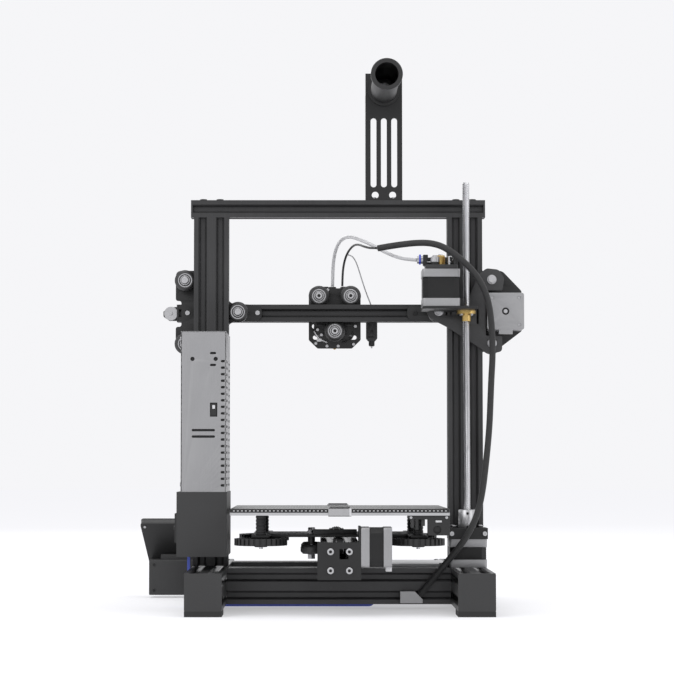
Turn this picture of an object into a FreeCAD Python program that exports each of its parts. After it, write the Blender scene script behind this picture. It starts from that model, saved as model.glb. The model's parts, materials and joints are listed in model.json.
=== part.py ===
import FreeCAD, Part

import math
import os

from FreeCAD import Placement, Rotation, Vector

# A desktop 3-D printer with a sliding bed. Millimetres, +Z up. The front faces -Y.
# Here X = 0 is the middle of the bed rail and Y = 0 the middle of the two uprights; at the end
# everything is moved so that the origin is under the middle of the machine, on the floor.

# Driving dimensions
CELL = 20.0  # slotted rails are built from square cells of this size
FOOT = 6.0
RAIL_LOW = FOOT
RAIL_TOP = RAIL_LOW + 2 * CELL
UPRIGHT_X = 145.5
BASE_HALF_DEPTH = 196.0
FRAME_TOP = 465.0
BEAM_HALF = 169.0
CAP = 4.0  # moulded end caps
TOP_CAP = 2.0
CROSS_RAIL_Y = (-120.0, 45.0)
SADDLE = 7.0  # how far the bed rail sinks into the cross rails

Y_RAIL_Z = RAIL_TOP - SADDLE + CELL
Y_RAIL_FRONT = -212.0
Y_RAIL_REAR = 190.0

WHEEL_R = 12.0
WHEEL_HALF = 5.1
WHEEL_TREAD_HALF = 2.4
WHEEL_SHOULDER_R = 9.6
WHEEL_OFF = 10.4  # wheel centre to the rail's face
BOLT_R = 2.5
BORE_R = 2.55
GAP = 0.4  # running clearance beside a wheel

BED = 235.0
BED_REAR = 186.0
BED_MID = BED_REAR - BED / 2
HEATER_Z = 107.2
HEATER_T = 3.0
GLASS_T = 4.0
CARRIAGE_Z = 82.5
CARRIAGE_T = 3.0
COLUMN_PITCH = 170.0
KNOB_R = 28.7
KNOB_H = 7.9
BED_WHEEL_DY = 45.0

GANTRY_Z = 336.5
X_BEAM_Y = -26.0
PLATE_T = 3.0
FRONT_PLATE_Y = -16.0
REAR_PLATE_Y = 13.0
WHEEL_DZ = 36.5
X_MOTOR_X = -191.3
X_IDLER_X = 193.5
CARRIAGE_X = 3.5
CARRIAGE_WHEEL_DX = 18.4
CARRIAGE_PLATE_Y = -42.0
NOZZLE_Y = -57.0
NOZZLE_TIP_Z = 296.2

MOTOR = 42.3
MOTOR_BOSS_R = 11.0
PULLEY_CORE_R = 5.9
PULLEY_FLANGE_R = 8.0
BELT_IN_R = 6.2
BELT_T = 1.4
BELT_HALF = 3.0

SCREW_X = -UPRIGHT_X
SCREW_Y = 33.0
SCREW_R = 4.0
SCREW_TOP = 482.6
COUPLER_R = 9.9
Z_MOTOR_L = 32.0

Y_MOTOR_Y = 172.0
Y_PULLEY_Z = 73.65
Y_IDLER_Y = -226.0
Y_MOTOR_X = -22.5

EXTRUDER_X = -115.2
EXTRUDER_Y = 50.0
FLANGE_Z = 336.0

PSU_X = (123.7, 173.4)
PSU_Y = (12.0, 127.0)
PSU_Z = (112.0, 307.6)
COVER_X = (122.7, 177.7)
COVER_Y = (11.0, 128.0)
COVER_Z = (61.0, 131.7)

SPOOL_X = -52.8
SPOOL_W = 42.3
SPOOL_TOP = 611.8
ARM_Z = 592.0
ARM_TIP_Y = 125.0

SCREEN_TILT = 28.0  # degrees back from upright
SCREEN_X = (150.0, 240.0)
SCREEN_FOOT = Vector(0, -214.0, 42.0)

# Where each loose cord runs: its name, radius and the corners of its route
CORDS = {
    "cable_sleeve": (3.6, [
        (-44.5, 58, 405.0), (-57, 62, 407.0), (-72, 69, 408.5), (-87, 76, 409.5), (-101, 81, 409.0),
        (-113, 83.5, 406.0), (-123, 84.5, 400.5), (-134, 85, 392.5), (-145, 84, 382.5), (-155, 81, 371.0),
        (-162.5, 77, 358.0), (-168, 72, 343.0), (-171, 67, 326.0), (-172.6, 64, 305.0), (-173, 62, 282.0),
        (-171.5, 61.5, 258.0), (-170.4, 62, 233.0), (-169.2, 63, 207.0), (-166.8, 65, 181.0),
        (-164, 67, 157.0), (-161, 69.5, 134.0), (-156.5, 72, 113.0), (-150, 74.5, 95.5), (-142, 76.5, 81.0),
        (-132.8, 77.5, 68.5), (-123.5, 77.5, 57.5), (-115, 77, 47.0), (-107, 75.7, 37.0),
        (-99.8, 74.2, 28.5), (-93.9, 72.7, 21.7), (-88.9, 72, 16.7),
    ]),
    "bowden_tube": (2.0, [
        (5.9, -50, 370.0), (5.7, -49.6, 384.0), (5.0, -46.5, 398.0), (3.0, -40, 410.0), (-1.0, -30, 419.5),
        (-7.5, -16, 424.5), (-16, 0, 423.5), (-27, 17, 418.0), (-39, 32, 411.0), (-51, 43, 403.0),
        (-63, 48.5, 397.0), (-75, 50, 393.4), (-88.8, 50, 392.5),
    ]),
    "hotend_cable": (1.3, [
        (-5.5, -46, 370.0), (-5.7, -45.6, 380.0), (-6.4, -43.5, 390.5), (-8.4, -38, 401.0),
        (-12.5, -28.5, 410.0), (-18.5, -14, 415.5), (-24, 3, 414.5), (-28.5, 21, 410.8), (-34, 36.5, 407.6),
        (-38.8, 47.5, 406.2), (-42.4, 55.2, 405.6),
    ]),
    "probe_wire": (0.75, [
        (-12.5, -34.3, 405.7), (-15.8, -37.8, 405.3), (-19.2, -43, 402.6), (-22.4, -48.5, 397.0),
        (-25.4, -53, 388.5), (-28.6, -56, 378.5), (-32.2, -57.7, 367.5), (-35.8, -58.1, 357.8),
        (-38.6, -57.3, 350.7), (-40, -56.2, 346.2),
    ]),
}


# Plain shapes
def box(x0, x1, y0, y1, z0, z1):
    return Part.makeBox(x1 - x0, y1 - y0, z1 - z0, Vector(x0, y0, z0))


AXES = {"x": Vector(1, 0, 0), "y": Vector(0, 1, 0), "z": Vector(0, 0, 1)}
TURNS = {"x": Rotation(AXES["y"], 90), "y": Rotation(AXES["x"], -90), "z": Rotation()}


def rod(axis, radius, start, length):
    """A cylinder that starts at a point and runs along +axis."""
    return Part.makeCylinder(radius, length, Vector(*start), AXES[axis])


def ring(axis, outer, inner, start, length):
    return rod(axis, outer, start, length).cut(rod(axis, inner, start, length))


def hexagon(axis, across, start, length):
    """A hexagonal nut or bolt head."""
    corner = across / math.sqrt(3)
    points = [
        Vector(corner * math.cos(math.radians(60 * i)), corner * math.sin(math.radians(60 * i)), 0)
        for i in range(6)
    ]
    solid = Part.Face(Part.makePolygon(points + points[:1])).extrude(Vector(0, 0, length))
    solid.Placement = Placement(Vector(*start), TURNS[axis])
    return solid


def slab(axis, outline, start, length):
    """A flat outline, given in the other two axes in X, Y, Z order, made thick along +axis."""
    spread = {
        "x": lambda a, b: Vector(start, a, b),
        "y": lambda a, b: Vector(a, start, b),
        "z": lambda a, b: Vector(a, b, start),
    }[axis]
    points = [spread(a, b) for a, b in outline]
    face = Part.Face(Part.makePolygon(points + points[:1]))
    return face.extrude(AXES[axis] * length)


def fuse(first, *others):
    return first.multiFuse(list(others)).removeSplitter()


def less(solid, *tools):
    for tool in tools:
        solid = solid.cut(tool)
    return solid


def group(*solids):
    return Part.makeCompound(list(solids))


def rounded(solid, axis, radius):
    """Rounds every straight edge that runs along the axis."""
    edges = [
        e
        for e in solid.Edges
        if isinstance(e.Curve, (Part.Line, Part.LineSegment))
        and abs(abs(e.tangentAt(e.FirstParameter).dot(AXES[axis])) - 1) < 1e-6
    ]
    return solid.makeFillet(radius, edges)


# Slotted aluminium rails
SLOT = [(0.0, 4.9), (1.9, 3.2), (1.9, 5.0), (4.0, 5.0), (6.0, 2.6)]  # depth below the face, half width
CORE_BORE_R = 2.1


def rail(across, along, length):
    """A rail of across by along cells, centred on Z, slotted on every face and bored in every cell."""
    half_a, half_b = across * CELL / 2, along * CELL / 2
    corners = [Vector(a * half_a, b * half_b) for a, b in ((1, -1), (1, 1), (-1, 1), (-1, -1))]
    points = []
    for side in range(4):
        start, end = corners[side], corners[(side + 1) % 4]
        forward = (end - start).normalize()
        inward = Vector(-forward.y, forward.x, 0)
        points.append(start)
        for i in range(round((end - start).Length / CELL)):
            middle = start + forward * (CELL * (i + 0.5))
            points += [middle - forward * half + inward * depth for depth, half in SLOT]
            points += [middle + forward * half + inward * depth for depth, half in reversed(SLOT)]
    solid = Part.Face(Part.makePolygon(points + points[:1])).extrude(Vector(0, 0, length))
    for i in range(across):
        for j in range(along):
            centre = ((i + 0.5) * CELL - half_a, (j + 0.5) * CELL - half_b, 0)
            solid = solid.cut(rod("z", CORE_BORE_R, centre, length))
    return solid


def laid(solid, axis, start):
    """Turns a solid made along Z to run along the axis, from a start point."""
    solid.Placement = Placement(Vector(*start), TURNS[axis])
    return solid


def base_rails():
    side_length = 2 * (BASE_HALF_DEPTH - CAP)
    sides = [
        laid(rail(2, 2, side_length), "y", (x, -side_length / 2, RAIL_LOW + CELL))
        for x in (-UPRIGHT_X, UPRIGHT_X)
    ]
    inner = UPRIGHT_X - CELL
    crosses = [
        less(
            laid(rail(2, 2, 2 * inner), "x", (-inner, y, RAIL_LOW + CELL)),
            box(-CELL, CELL, y - 2 * CELL, y + 2 * CELL, RAIL_TOP - SADDLE, RAIL_TOP + 1),
        )
        for y in CROSS_RAIL_Y
    ]
    return group(*sides, *crosses)


def y_rail():
    length = Y_RAIL_REAR - Y_RAIL_FRONT
    solid = laid(rail(2, 2, length), "y", (0, Y_RAIL_FRONT, Y_RAIL_Z))
    top = Y_RAIL_Z + CELL
    belt_way = box(-6.5, 6.5, Y_RAIL_FRONT, Y_RAIL_REAR, Y_RAIL_Z - 9.5, Y_RAIL_Z + 9.5)
    pulley_pocket = box(-9, 9, Y_MOTOR_Y - 14, Y_RAIL_REAR, top - 19, top)
    shaft_way = box(-CELL, -9, Y_MOTOR_Y - 6, Y_MOTOR_Y + 6, top - 12, top)
    return less(solid, belt_way, pulley_pocket, shaft_way)


def portal_rails():
    height = FRAME_TOP - CELL - RAIL_TOP
    uprights = [laid(rail(2, 1, height), "z", (x, 0, RAIL_TOP)) for x in (-UPRIGHT_X, UPRIGHT_X)]
    half = BEAM_HALF - TOP_CAP
    beam = laid(rail(1, 1, 2 * half), "x", (-half, 0, FRAME_TOP - CELL / 2))
    return group(*uprights, beam)


def end_caps():
    caps = []
    for x in (-UPRIGHT_X, UPRIGHT_X):
        for y in (-BASE_HALF_DEPTH, BASE_HALF_DEPTH - CAP):
            cap = box(x - CELL, x + CELL, y, y + CAP, RAIL_LOW, RAIL_TOP)
            caps.append(rounded(cap, "y", 1.5))
    for x in (-BEAM_HALF, BEAM_HALF - TOP_CAP):
        caps.append(box(x, x + TOP_CAP, -CELL / 2, CELL / 2, FRAME_TOP - CELL, FRAME_TOP))
    return group(*caps)


def rubber_feet():
    length = 50.0
    return group(*[
        box(x - CELL, x + CELL, y, y + length, 0, FOOT)
        for x in (-UPRIGHT_X, UPRIGHT_X)
        for y in (-BASE_HALF_DEPTH, BASE_HALF_DEPTH - length)
    ])


# Motors, pulleys and belts
def stepper(length):
    """A stepper motor with its mounting face at Z = 0, its body below and its boss above."""
    half = MOTOR / 2
    cap = 9.0
    caps = [
        rounded(box(-half, half, -half, half, low, low + cap), "z", 3.0) for low in (-cap, -length)
    ]
    inset = half - 0.3
    cut = 5.5
    stack = slab("z", [
        (inset, cut - inset), (inset, inset - cut), (inset - cut, inset), (cut - inset, inset),
        (-inset, inset - cut), (-inset, cut - inset), (cut - inset, -inset), (inset - cut, -inset),
    ], cap - length, length - 2 * cap)
    boss = rod("z", MOTOR_BOSS_R, (0, 0, 0), 2.0)
    plug = box(-8, 8, -half - 5, -half, -length, -length + 6.5)
    return fuse(caps[0], stack, caps[1], boss, plug)


def turned(solid, turn, at):
    solid.Placement = Placement(Vector(*at), turn)
    return solid


def z_motor():
    return turned(stepper(Z_MOTOR_L), Rotation(AXES["z"], 90), (SCREW_X, SCREW_Y, RAIL_TOP + Z_MOTOR_L))


def y_motor():
    """The shaft points to +X and the plug looks down."""
    return turned(stepper(33.0), Rotation(Vector(1, 1, 1), 120), (Y_MOTOR_X, Y_MOTOR_Y, Y_PULLEY_Z))


def x_motor():
    """The shaft points to -Y, through the front plate, and the plug looks down."""
    at = (X_MOTOR_X, FRONT_PLATE_Y + PLATE_T, GANTRY_Z)
    return turned(stepper(33.0), Rotation(AXES["x"], 90), at)


def extruder_motor():
    height = 42.0
    at = (EXTRUDER_X, EXTRUDER_Y, FLANGE_Z + PLATE_T + height)
    return turned(stepper(height), Rotation(AXES["z"], -90), at)


def pulley(width):
    """A toothed belt pulley on the Z axis, with a flange on each side of the belt."""
    half = width / 2
    core = rod("z", PULLEY_CORE_R, (0, 0, -half), width)
    low = rod("z", PULLEY_FLANGE_R, (0, 0, -half), 1.0)
    high = rod("z", PULLEY_FLANGE_R, (0, 0, half - 1.0), 1.0)
    return fuse(core, low, high)


def belt(axis, centre_a, centre_b, across):
    """A closed belt round two pulleys in a plane square to the axis."""
    def loop(radius):
        a, b = centre_a, centre_b
        ends = [rod(axis, radius, c, 2 * BELT_HALF) for c in (a, b)]
        if axis == "x":
            middle = box(a[0], a[0] + 2 * BELT_HALF, a[1], b[1], a[2] - radius, a[2] + radius)
        else:
            middle = box(a[0], b[0], a[1], a[1] + 2 * BELT_HALF, a[2] - radius, a[2] + radius)
        return fuse(middle, *ends)

    return loop(BELT_IN_R + across).cut(loop(BELT_IN_R))


def wheel():
    """A V-grooved roller on the Z axis."""
    outline = [
        (BORE_R, -WHEEL_HALF), (WHEEL_SHOULDER_R, -WHEEL_HALF), (WHEEL_R, -WHEEL_TREAD_HALF),
        (WHEEL_R, WHEEL_TREAD_HALF), (WHEEL_SHOULDER_R, WHEEL_HALF), (BORE_R, WHEEL_HALF),
    ]
    points = [Vector(r, 0, z) for r, z in outline]
    face = Part.Face(Part.makePolygon(points + points[:1]))
    return face.revolve(Vector(0, 0, 0), AXES["z"], 360)


def placed_wheel(axis, centre):
    return laid(wheel(), axis, centre)


# The fixed base: supply, electronics, screen and drives
def psu_case():
    outer = box(*PSU_X, *PSU_Y, *PSU_Z)
    wall = 1.5
    inside_x = (PSU_X[0] + wall, PSU_X[1] - wall)
    inside_y = (PSU_Y[0] + wall, PSU_Y[1] - wall)
    inner = box(*inside_x, *inside_y, PSU_Z[0] - 1, PSU_Z[1] - wall)
    return outer.cut(inner)


INLET_Y = (45.0, 115.0)
INLET_Z = (76.0, 108.0)
SOCKET_Y = (79.0, 105.0)
SWITCH_Y = (50.0, 70.0)
RECESS_Z = (83.0, 101.0)
INLET_FACE = COVER_X[1] + 2.8
RECESS_FLOOR = 166.0


def psu_cover():
    """The plastic end cover, and the mains inlet module set in its outer wall."""
    outer = box(*COVER_X, *COVER_Y, *COVER_Z)
    floor = 2.0
    inner = box(*PSU_X, *PSU_Y, COVER_Z[0] + floor, COVER_Z[1] + 1)
    lip = 3.0
    hole = (INLET_Y[0] + lip, INLET_Y[1] - lip, INLET_Z[0] + lip, INLET_Z[1] - lip)
    module_hole = box(PSU_X[1] - 1, COVER_X[1] + 1, *hole)
    rim = box(COVER_X[1], INLET_FACE, *INLET_Y, *INLET_Z)
    body = box(RECESS_FLOOR - 2, COVER_X[1], *hole)
    socket = box(RECESS_FLOOR, INLET_FACE + 1, *SOCKET_Y, *RECESS_Z)
    switch = box(RECESS_FLOOR, INLET_FACE + 1, *SWITCH_Y, *RECESS_Z)
    module = less(fuse(rim, body), socket, switch)
    return group(less(outer, inner, module_hole), module)


SWITCH_PIVOT = (171.0, sum(SWITCH_Y) / 2, sum(RECESS_Z) / 2)


def power_switch():
    """The rocker, pressed at its top; it pivots on a line along Y."""
    x, _, z = SWITCH_PIVOT
    profile = [
        (x - 2, z - 2), (x + 2, z - 3.5), (x + 9.5, z - 6.5), (x + 11.5, z - 6.5),
        (x + 10, z), (x + 10.5, z + 6), (x + 9.5, z + 6.5), (x + 2, z + 3.5), (x - 2, z + 2),
    ]
    inset = 1.0
    return slab("y", profile, SWITCH_Y[0] + inset, SWITCH_Y[1] - SWITCH_Y[0] - 2 * inset)


CASE_X = (-123.0, -23.0)
CASE_Y = (-98.5, 23.5)
CASE_Z = (8.0, 48.9)
LEAD_X = (-40.0, 170.0)
LEAD_Y = (12.0, 21.0)
LEAD_T = 3.2
LEAD_Z = 2.6  # middle of the lead under the base


def psu_lead():
    """The flat lead from the supply, down past the rail, under the base and up into the electronics."""
    half = LEAD_T / 2
    bend = CASE_Z[0] - LEAD_Z
    reach = bend + half

    def elbow(centre_x, x0, x1):
        """The quarter turn between x0 and x1, below its centre."""
        whole = ring("y", reach, bend - half, (centre_x, LEAD_Y[0], CASE_Z[0]), LEAD_Y[1] - LEAD_Y[0])
        return whole.common(box(x0, x1, *LEAD_Y, CASE_Z[0] - reach, CASE_Z[0]))

    left, right = LEAD_X[0] + bend, LEAD_X[1] - bend
    return fuse(
        box(LEAD_X[1] - half, LEAD_X[1] + half, *LEAD_Y, CASE_Z[0], COVER_Z[0]),
        elbow(right, right, right + reach),
        box(left, right, *LEAD_Y, LEAD_Z - half, LEAD_Z + half),
        elbow(left, left - reach, left),
    )


def electronics_case():
    """A sheet-metal tray and its lid, between the cross rails, and the block that its cables leave from."""
    wall = 1.2
    lid_z = CASE_Z[1] - wall
    tray = box(*CASE_X, *CASE_Y, CASE_Z[0], lid_z)
    pocket = box(
        CASE_X[0] + wall, CASE_X[1] - wall, CASE_Y[0] + wall, CASE_Y[1] - wall, CASE_Z[0] + wall, lid_z + 1
    )
    lid = box(*CASE_X, *CASE_Y, lid_z, CASE_Z[1])
    return group(tray.cut(pocket), lid, cable_clamp())


def cable_clamp():
    """The block on the rear cross rail that the cable sleeve ends in, through a slanted face."""
    outline = [(-68.3, 7.9), (-93.0, 7.9), (-93.0, 12.0), (-84.3, 20.7), (-68.3, 20.7)]
    return slab("y", outline, CROSS_RAIL_Y[1] + CELL, 13.0)


def in_screen_plane(solid):
    """Leans a solid made upright, front towards -Y, back about the screen's foot."""
    solid.Placement = Placement(SCREEN_FOOT, Rotation(AXES["x"], -SCREEN_TILT))
    return solid


SCREEN_T = 13.0
SCREEN_H = 61.0
GLASS_X = (158.0, 216.0)
GLASS_Z = (12.0, 50.0)
KNOB_X = 227.0
KNOB_Z = 26.0


def screen_case():
    """The tilted screen housing and the box behind it that holds it to the side rail."""
    outline = [
        (SCREEN_X[0] + 6, 0), (SCREEN_X[1] - 11, 0), (SCREEN_X[1], SCREEN_H), (SCREEN_X[0], SCREEN_H),
    ]
    panel = slab("y", outline, 0, SCREEN_T)
    window = box(*GLASS_X, -1, 1.5, *GLASS_Z)
    knob_hole = rod("y", 3.5, (KNOB_X, -1, KNOB_Z), 6.0)
    housing = in_screen_plane(less(panel, window, knob_hole))
    rail_side = UPRIGHT_X + CELL
    holder = box(rail_side + 0.3, 228.0, -197.0, -165.0, 3.3, 46.0)
    neck = box(rail_side + 8, 215.0, -205.0, -185.0, 30.0, 52.0)
    return group(fuse(housing, holder, neck), screen_glass())


def screen_glass():
    inset = 0.2
    pane = box(GLASS_X[0] + inset, GLASS_X[1] - inset, 0.1, 1.5, GLASS_Z[0] + inset, GLASS_Z[1] - inset)
    return in_screen_plane(pane)


def screen_knob():
    skirt = rod("y", 8.0, (KNOB_X, -12.0, KNOB_Z), 11.6)
    stem = rod("y", 3.2, (KNOB_X, -0.5, KNOB_Z), 5.0)
    return in_screen_plane(fuse(skirt, stem))


BRACKET_TOP = 90.4
UPRIGHT_REAR = CELL / 2


def motor_brackets():
    """The Z motor's block on the upright, and the Y motor's bent plate on the end of the bed rail."""
    z_low = RAIL_TOP + Z_MOTOR_L
    block = box(SCREW_X - 22, SCREW_X + 21.5, UPRIGHT_REAR, SCREW_Y + 21.5, z_low, BRACKET_TOP)
    block = less(block, rod("z", 12.0, (SCREW_X, SCREW_Y, z_low - 1), 20))
    top = Y_RAIL_Z + CELL
    plate = box(-CELL, 24.0, Y_RAIL_REAR, Y_RAIL_REAR + 3, Y_RAIL_Z - CELL, top)
    window = box(-9.5, 0.5, Y_RAIL_REAR - 1, Y_RAIL_REAR + 4, top - 18, top - 7)
    flange = box(Y_MOTOR_X, -CELL, Y_MOTOR_Y - 22, Y_RAIL_REAR + 3, Y_RAIL_Z - CELL, Y_PULLEY_Z + 22)
    shaft_hole = rod("x", MOTOR_BOSS_R + 0.5, (Y_MOTOR_X - 1, Y_MOTOR_Y, Y_PULLEY_Z), 5)
    return group(block, fuse(plate.cut(window), flange.cut(shaft_hole)))


KNOB_FRONT_Y = -245.0


def y_tensioner():
    """The fork on the front end of the bed rail that holds the belt's idler, with its adjusting knob."""
    front = Y_RAIL_FRONT
    top = Y_RAIL_Z + CELL
    plate = box(-CELL, CELL, front - 4, front, Y_RAIL_Z - CELL, top)
    belt_gap = box(-5.5, 5.5, front - 5, front + 1, Y_PULLEY_Z - 10, top + 1)
    cheeks = [box(x, x + 3, -238.0, front - 4, Y_PULLEY_Z - 11, Y_PULLEY_Z + 9) for x in (-9.0, 6.0)]
    nose = box(-9, 9, -240.0, -236.5, Y_PULLEY_Z - 11, Y_PULLEY_Z + 9)
    pin = rod("x", 2.0, (-9, Y_IDLER_Y, Y_PULLEY_Z), 18)
    knob = rod("y", 11.0, (0, KNOB_FRONT_Y, Y_PULLEY_Z), 5)
    return fuse(plate.cut(belt_gap), *cheeks, nose, pin, knob)


def y_pulley():
    """The drive pulley with the motor shaft that carries it."""
    at = (0, Y_MOTOR_Y, Y_PULLEY_Z)
    shaft = rod("x", 2.5, (Y_MOTOR_X + 2.3, Y_MOTOR_Y, Y_PULLEY_Z), 28.0)
    return fuse(laid(pulley(8.6), "x", at), shaft)


def y_idler():
    at = (0, Y_IDLER_Y, Y_PULLEY_Z)
    return laid(pulley(8.6).cut(rod("z", 2.05, (0, 0, -5), 10)), "x", at)


def y_belt():
    a = (-BELT_HALF, Y_IDLER_Y, Y_PULLEY_Z)
    b = (-BELT_HALF, Y_MOTOR_Y, Y_PULLEY_Z)
    return belt("x", a, b, BELT_T)


def lead_screw():
    """The screw, the motor shaft under it and the coupler that joins them."""
    shaft_low = RAIL_TOP + Z_MOTOR_L + 2.3
    joint_z = 99.0
    screw = rod("z", SCREW_R, (SCREW_X, SCREW_Y, joint_z), SCREW_TOP - joint_z)
    shaft = rod("z", 2.5, (SCREW_X, SCREW_Y, shaft_low), joint_z - shaft_low)
    spindle = fuse(screw, shaft)
    coupler = rod("z", COUPLER_R, (SCREW_X, SCREW_Y, 87.2), 23.5).cut(spindle)
    return group(spindle, coupler)


# The spool holder on top
def spool_bracket():
    """A channel with three long windows, standing on the top beam."""
    left, right = SPOOL_X - SPOOL_W / 2, SPOOL_X + SPOOL_W / 2
    sheet = 2.0
    web = box(left, right, 6.5, 6.5 + sheet, FRAME_TOP, SPOOL_TOP)
    windows = [rounded(box(x - 3.35, x + 3.35, 6, 9, 480.0, 560.0), "y", 3.3) for x in (
        SPOOL_X - 11.9, SPOOL_X, SPOOL_X + 11.9)]
    drain_holes = [rod("y", 4.0, (x, 6, 471.0), 3) for x in (SPOOL_X - 10, SPOOL_X + 10)]
    flanges = [box(x, x + sheet, -3.0, 6.5, FRAME_TOP, SPOOL_TOP - 25) for x in (left, right - sheet)]
    foot = box(left, right, -9.0, 8.5, FRAME_TOP, FRAME_TOP + sheet)
    return fuse(less(web, *windows, *drain_holes), *flanges, foot)


ARM_R = 15.0
ARM_BORE_R = 13.0
LIP_R = 17.7
LIP_L = 7.0


def spool_arm():
    """The hollow arm that the spool hangs on."""
    start = 8.5
    flange = rod("y", 18.0, (SPOOL_X, start, ARM_Z), 4)
    tube = rod("y", ARM_R, (SPOOL_X, start, ARM_Z), ARM_TIP_Y - start)
    lip = rod("y", LIP_R, (SPOOL_X, ARM_TIP_Y - LIP_L, ARM_Z), LIP_L)
    return fuse(flange, tube, lip).cut(rod("y", ARM_BORE_R, (SPOOL_X, start + 4, ARM_Z), ARM_TIP_Y))


# The sliding bed
def bed_points(dx, dy):
    return [(x, BED_MID + y) for x in (-dx, dx) for y in (-dy, dy)]


def glass_plate():
    low = HEATER_Z + HEATER_T
    return rounded(box(-BED / 2, BED / 2, BED_REAR - BED, BED_REAR, low, low + GLASS_T), "z", 4.0)


def heated_bed():
    plate = box(-BED / 2, BED / 2, BED_REAR - BED, BED_REAR, HEATER_Z, HEATER_Z + HEATER_T)
    return rounded(plate, "z", 4.0)


def bed_columns():
    """The springy columns under the bed, each with the long screw that its knob turns on."""
    low = CARRIAGE_Z + CARRIAGE_T
    half = COLUMN_PITCH / 2
    tip = 70.5
    columns = []
    for x, y in bed_points(half, half):
        column = rod("z", 5.4, (x, y, low), HEATER_Z - low)
        screw = rod("z", 2.0, (x, y, tip), HEATER_Z - tip)
        columns.append(fuse(column, screw))
    return columns


def bed_carriage():
    """The plate under the bed, with a bar on each side, the belt clamp, the wheel bolts and the columns."""
    low, high = CARRIAGE_Z, CARRIAGE_Z + CARRIAGE_T
    half = COLUMN_PITCH / 2
    middle = box(-half, half, BED_MID - 60, BED_MID + 60, low, high)
    bars = [box(x - 10, x + 10, BED_MID - half - 10, BED_MID + half + 10, low, high) for x in (-half, half)]
    screw_holes = [rod("z", 2.0, (x, y, low - 1), 5) for x, y in bed_points(half, half)]
    clamp = box(-19.2, 28.6, BED_MID + 53, BED_MID + 60, high, high + 5.6)
    plate = less(fuse(middle, *bars, clamp), *screw_holes)
    bolts = []
    wheel_z = Y_RAIL_Z + CELL / 2
    for x, y in bed_points(CELL + WHEEL_OFF, BED_WHEEL_DY):
        spacer_low = wheel_z + WHEEL_HALF + GAP
        nut_low = wheel_z - WHEEL_HALF - GAP - 5
        shank = rod("z", BOLT_R, (x, y, nut_low), low - nut_low)
        spacer = rod("z", 4.0, (x, y, spacer_low), low - spacer_low)
        nut = hexagon("z", 8.0, (x, y, nut_low), 5)
        head = rod("z", 4.5, (x, y, high), 5)
        bolts += [fuse(shank, spacer, nut), head]
    return group(plate, *bolts, *bed_columns())


def bed_fittings():
    """The clips that hold the glass, and the cable relief under the rear corner."""
    half_w = 12.3
    glass_top = HEATER_Z + HEATER_T + GLASS_T
    clips = []
    for edge, inward in ((BED_REAR, -1), (BED_REAR - BED, 1)):
        y0, y1 = sorted((edge, edge + inward * 12))
        wall0, wall1 = sorted((edge, edge - inward * 1.2))
        upper = box(-half_w, half_w, min(y0, wall0), max(y1, wall1), glass_top, glass_top + 2.4)
        wall = box(-half_w, half_w, wall0, wall1, HEATER_Z - 1.2, glass_top)
        lower = box(-half_w, half_w, min(y0, wall0), max(y1, wall1), HEATER_Z - 1.2, HEATER_Z)
        clips.append(fuse(upper, wall, lower))
    hanger = box(-117.5, -72.7, 166.0, 184.0, 103.0, HEATER_Z)
    body = box(-117.5, -94.0, 168.0, 184.0, 86.0, 103.0)
    hook = box(-84.0, -76.0, 168.0, 184.0, 92.0, 103.0)
    return group(*clips, fuse(hanger, body, hook))


KNOB_TOP = CARRIAGE_Z - 0.3


def bed_knob(x, y):
    """A round finger nut on one of the long screws."""
    disc = rod("z", KNOB_R, (x, y, KNOB_TOP - KNOB_H), KNOB_H)
    hub = rod("z", 7.0, (x, y, KNOB_TOP - KNOB_H - 1.7), 2)
    return fuse(disc, hub).cut(rod("z", 2.06, (x, y, KNOB_TOP - 20), 30))


# The gantry that climbs the uprights
BEAM_LOW = GANTRY_Z - CELL / 2
BEAM_HIGH = GANTRY_Z + CELL / 2
BEAM_X = (-168.0, 184.0)
INNER_WHEEL_X = UPRIGHT_X - CELL - WHEEL_OFF
OUTER_WHEEL_X = UPRIGHT_X + CELL + WHEEL_OFF
GANTRY_WHEELS = [(OUTER_WHEEL_X, WHEEL_DZ), (OUTER_WHEEL_X, -WHEEL_DZ), (INNER_WHEEL_X, 0.0)]


def x_beam():
    return laid(rail(1, 1, BEAM_X[1] - BEAM_X[0]), "x", (BEAM_X[0], X_BEAM_Y, GANTRY_Z))


def wheel_bolt(x, z, rear_end):
    """A bolt through a gantry wheel, from the front plate to its far end, with the wheel's spacer."""
    front = FRONT_PLATE_Y + PLATE_T
    shank = rod("y", BOLT_R, (x, front, z), rear_end - front)
    spacer = rod("y", 4.0, (x, front, z), -WHEEL_HALF - GAP - front)
    return shank, spacer


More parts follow.
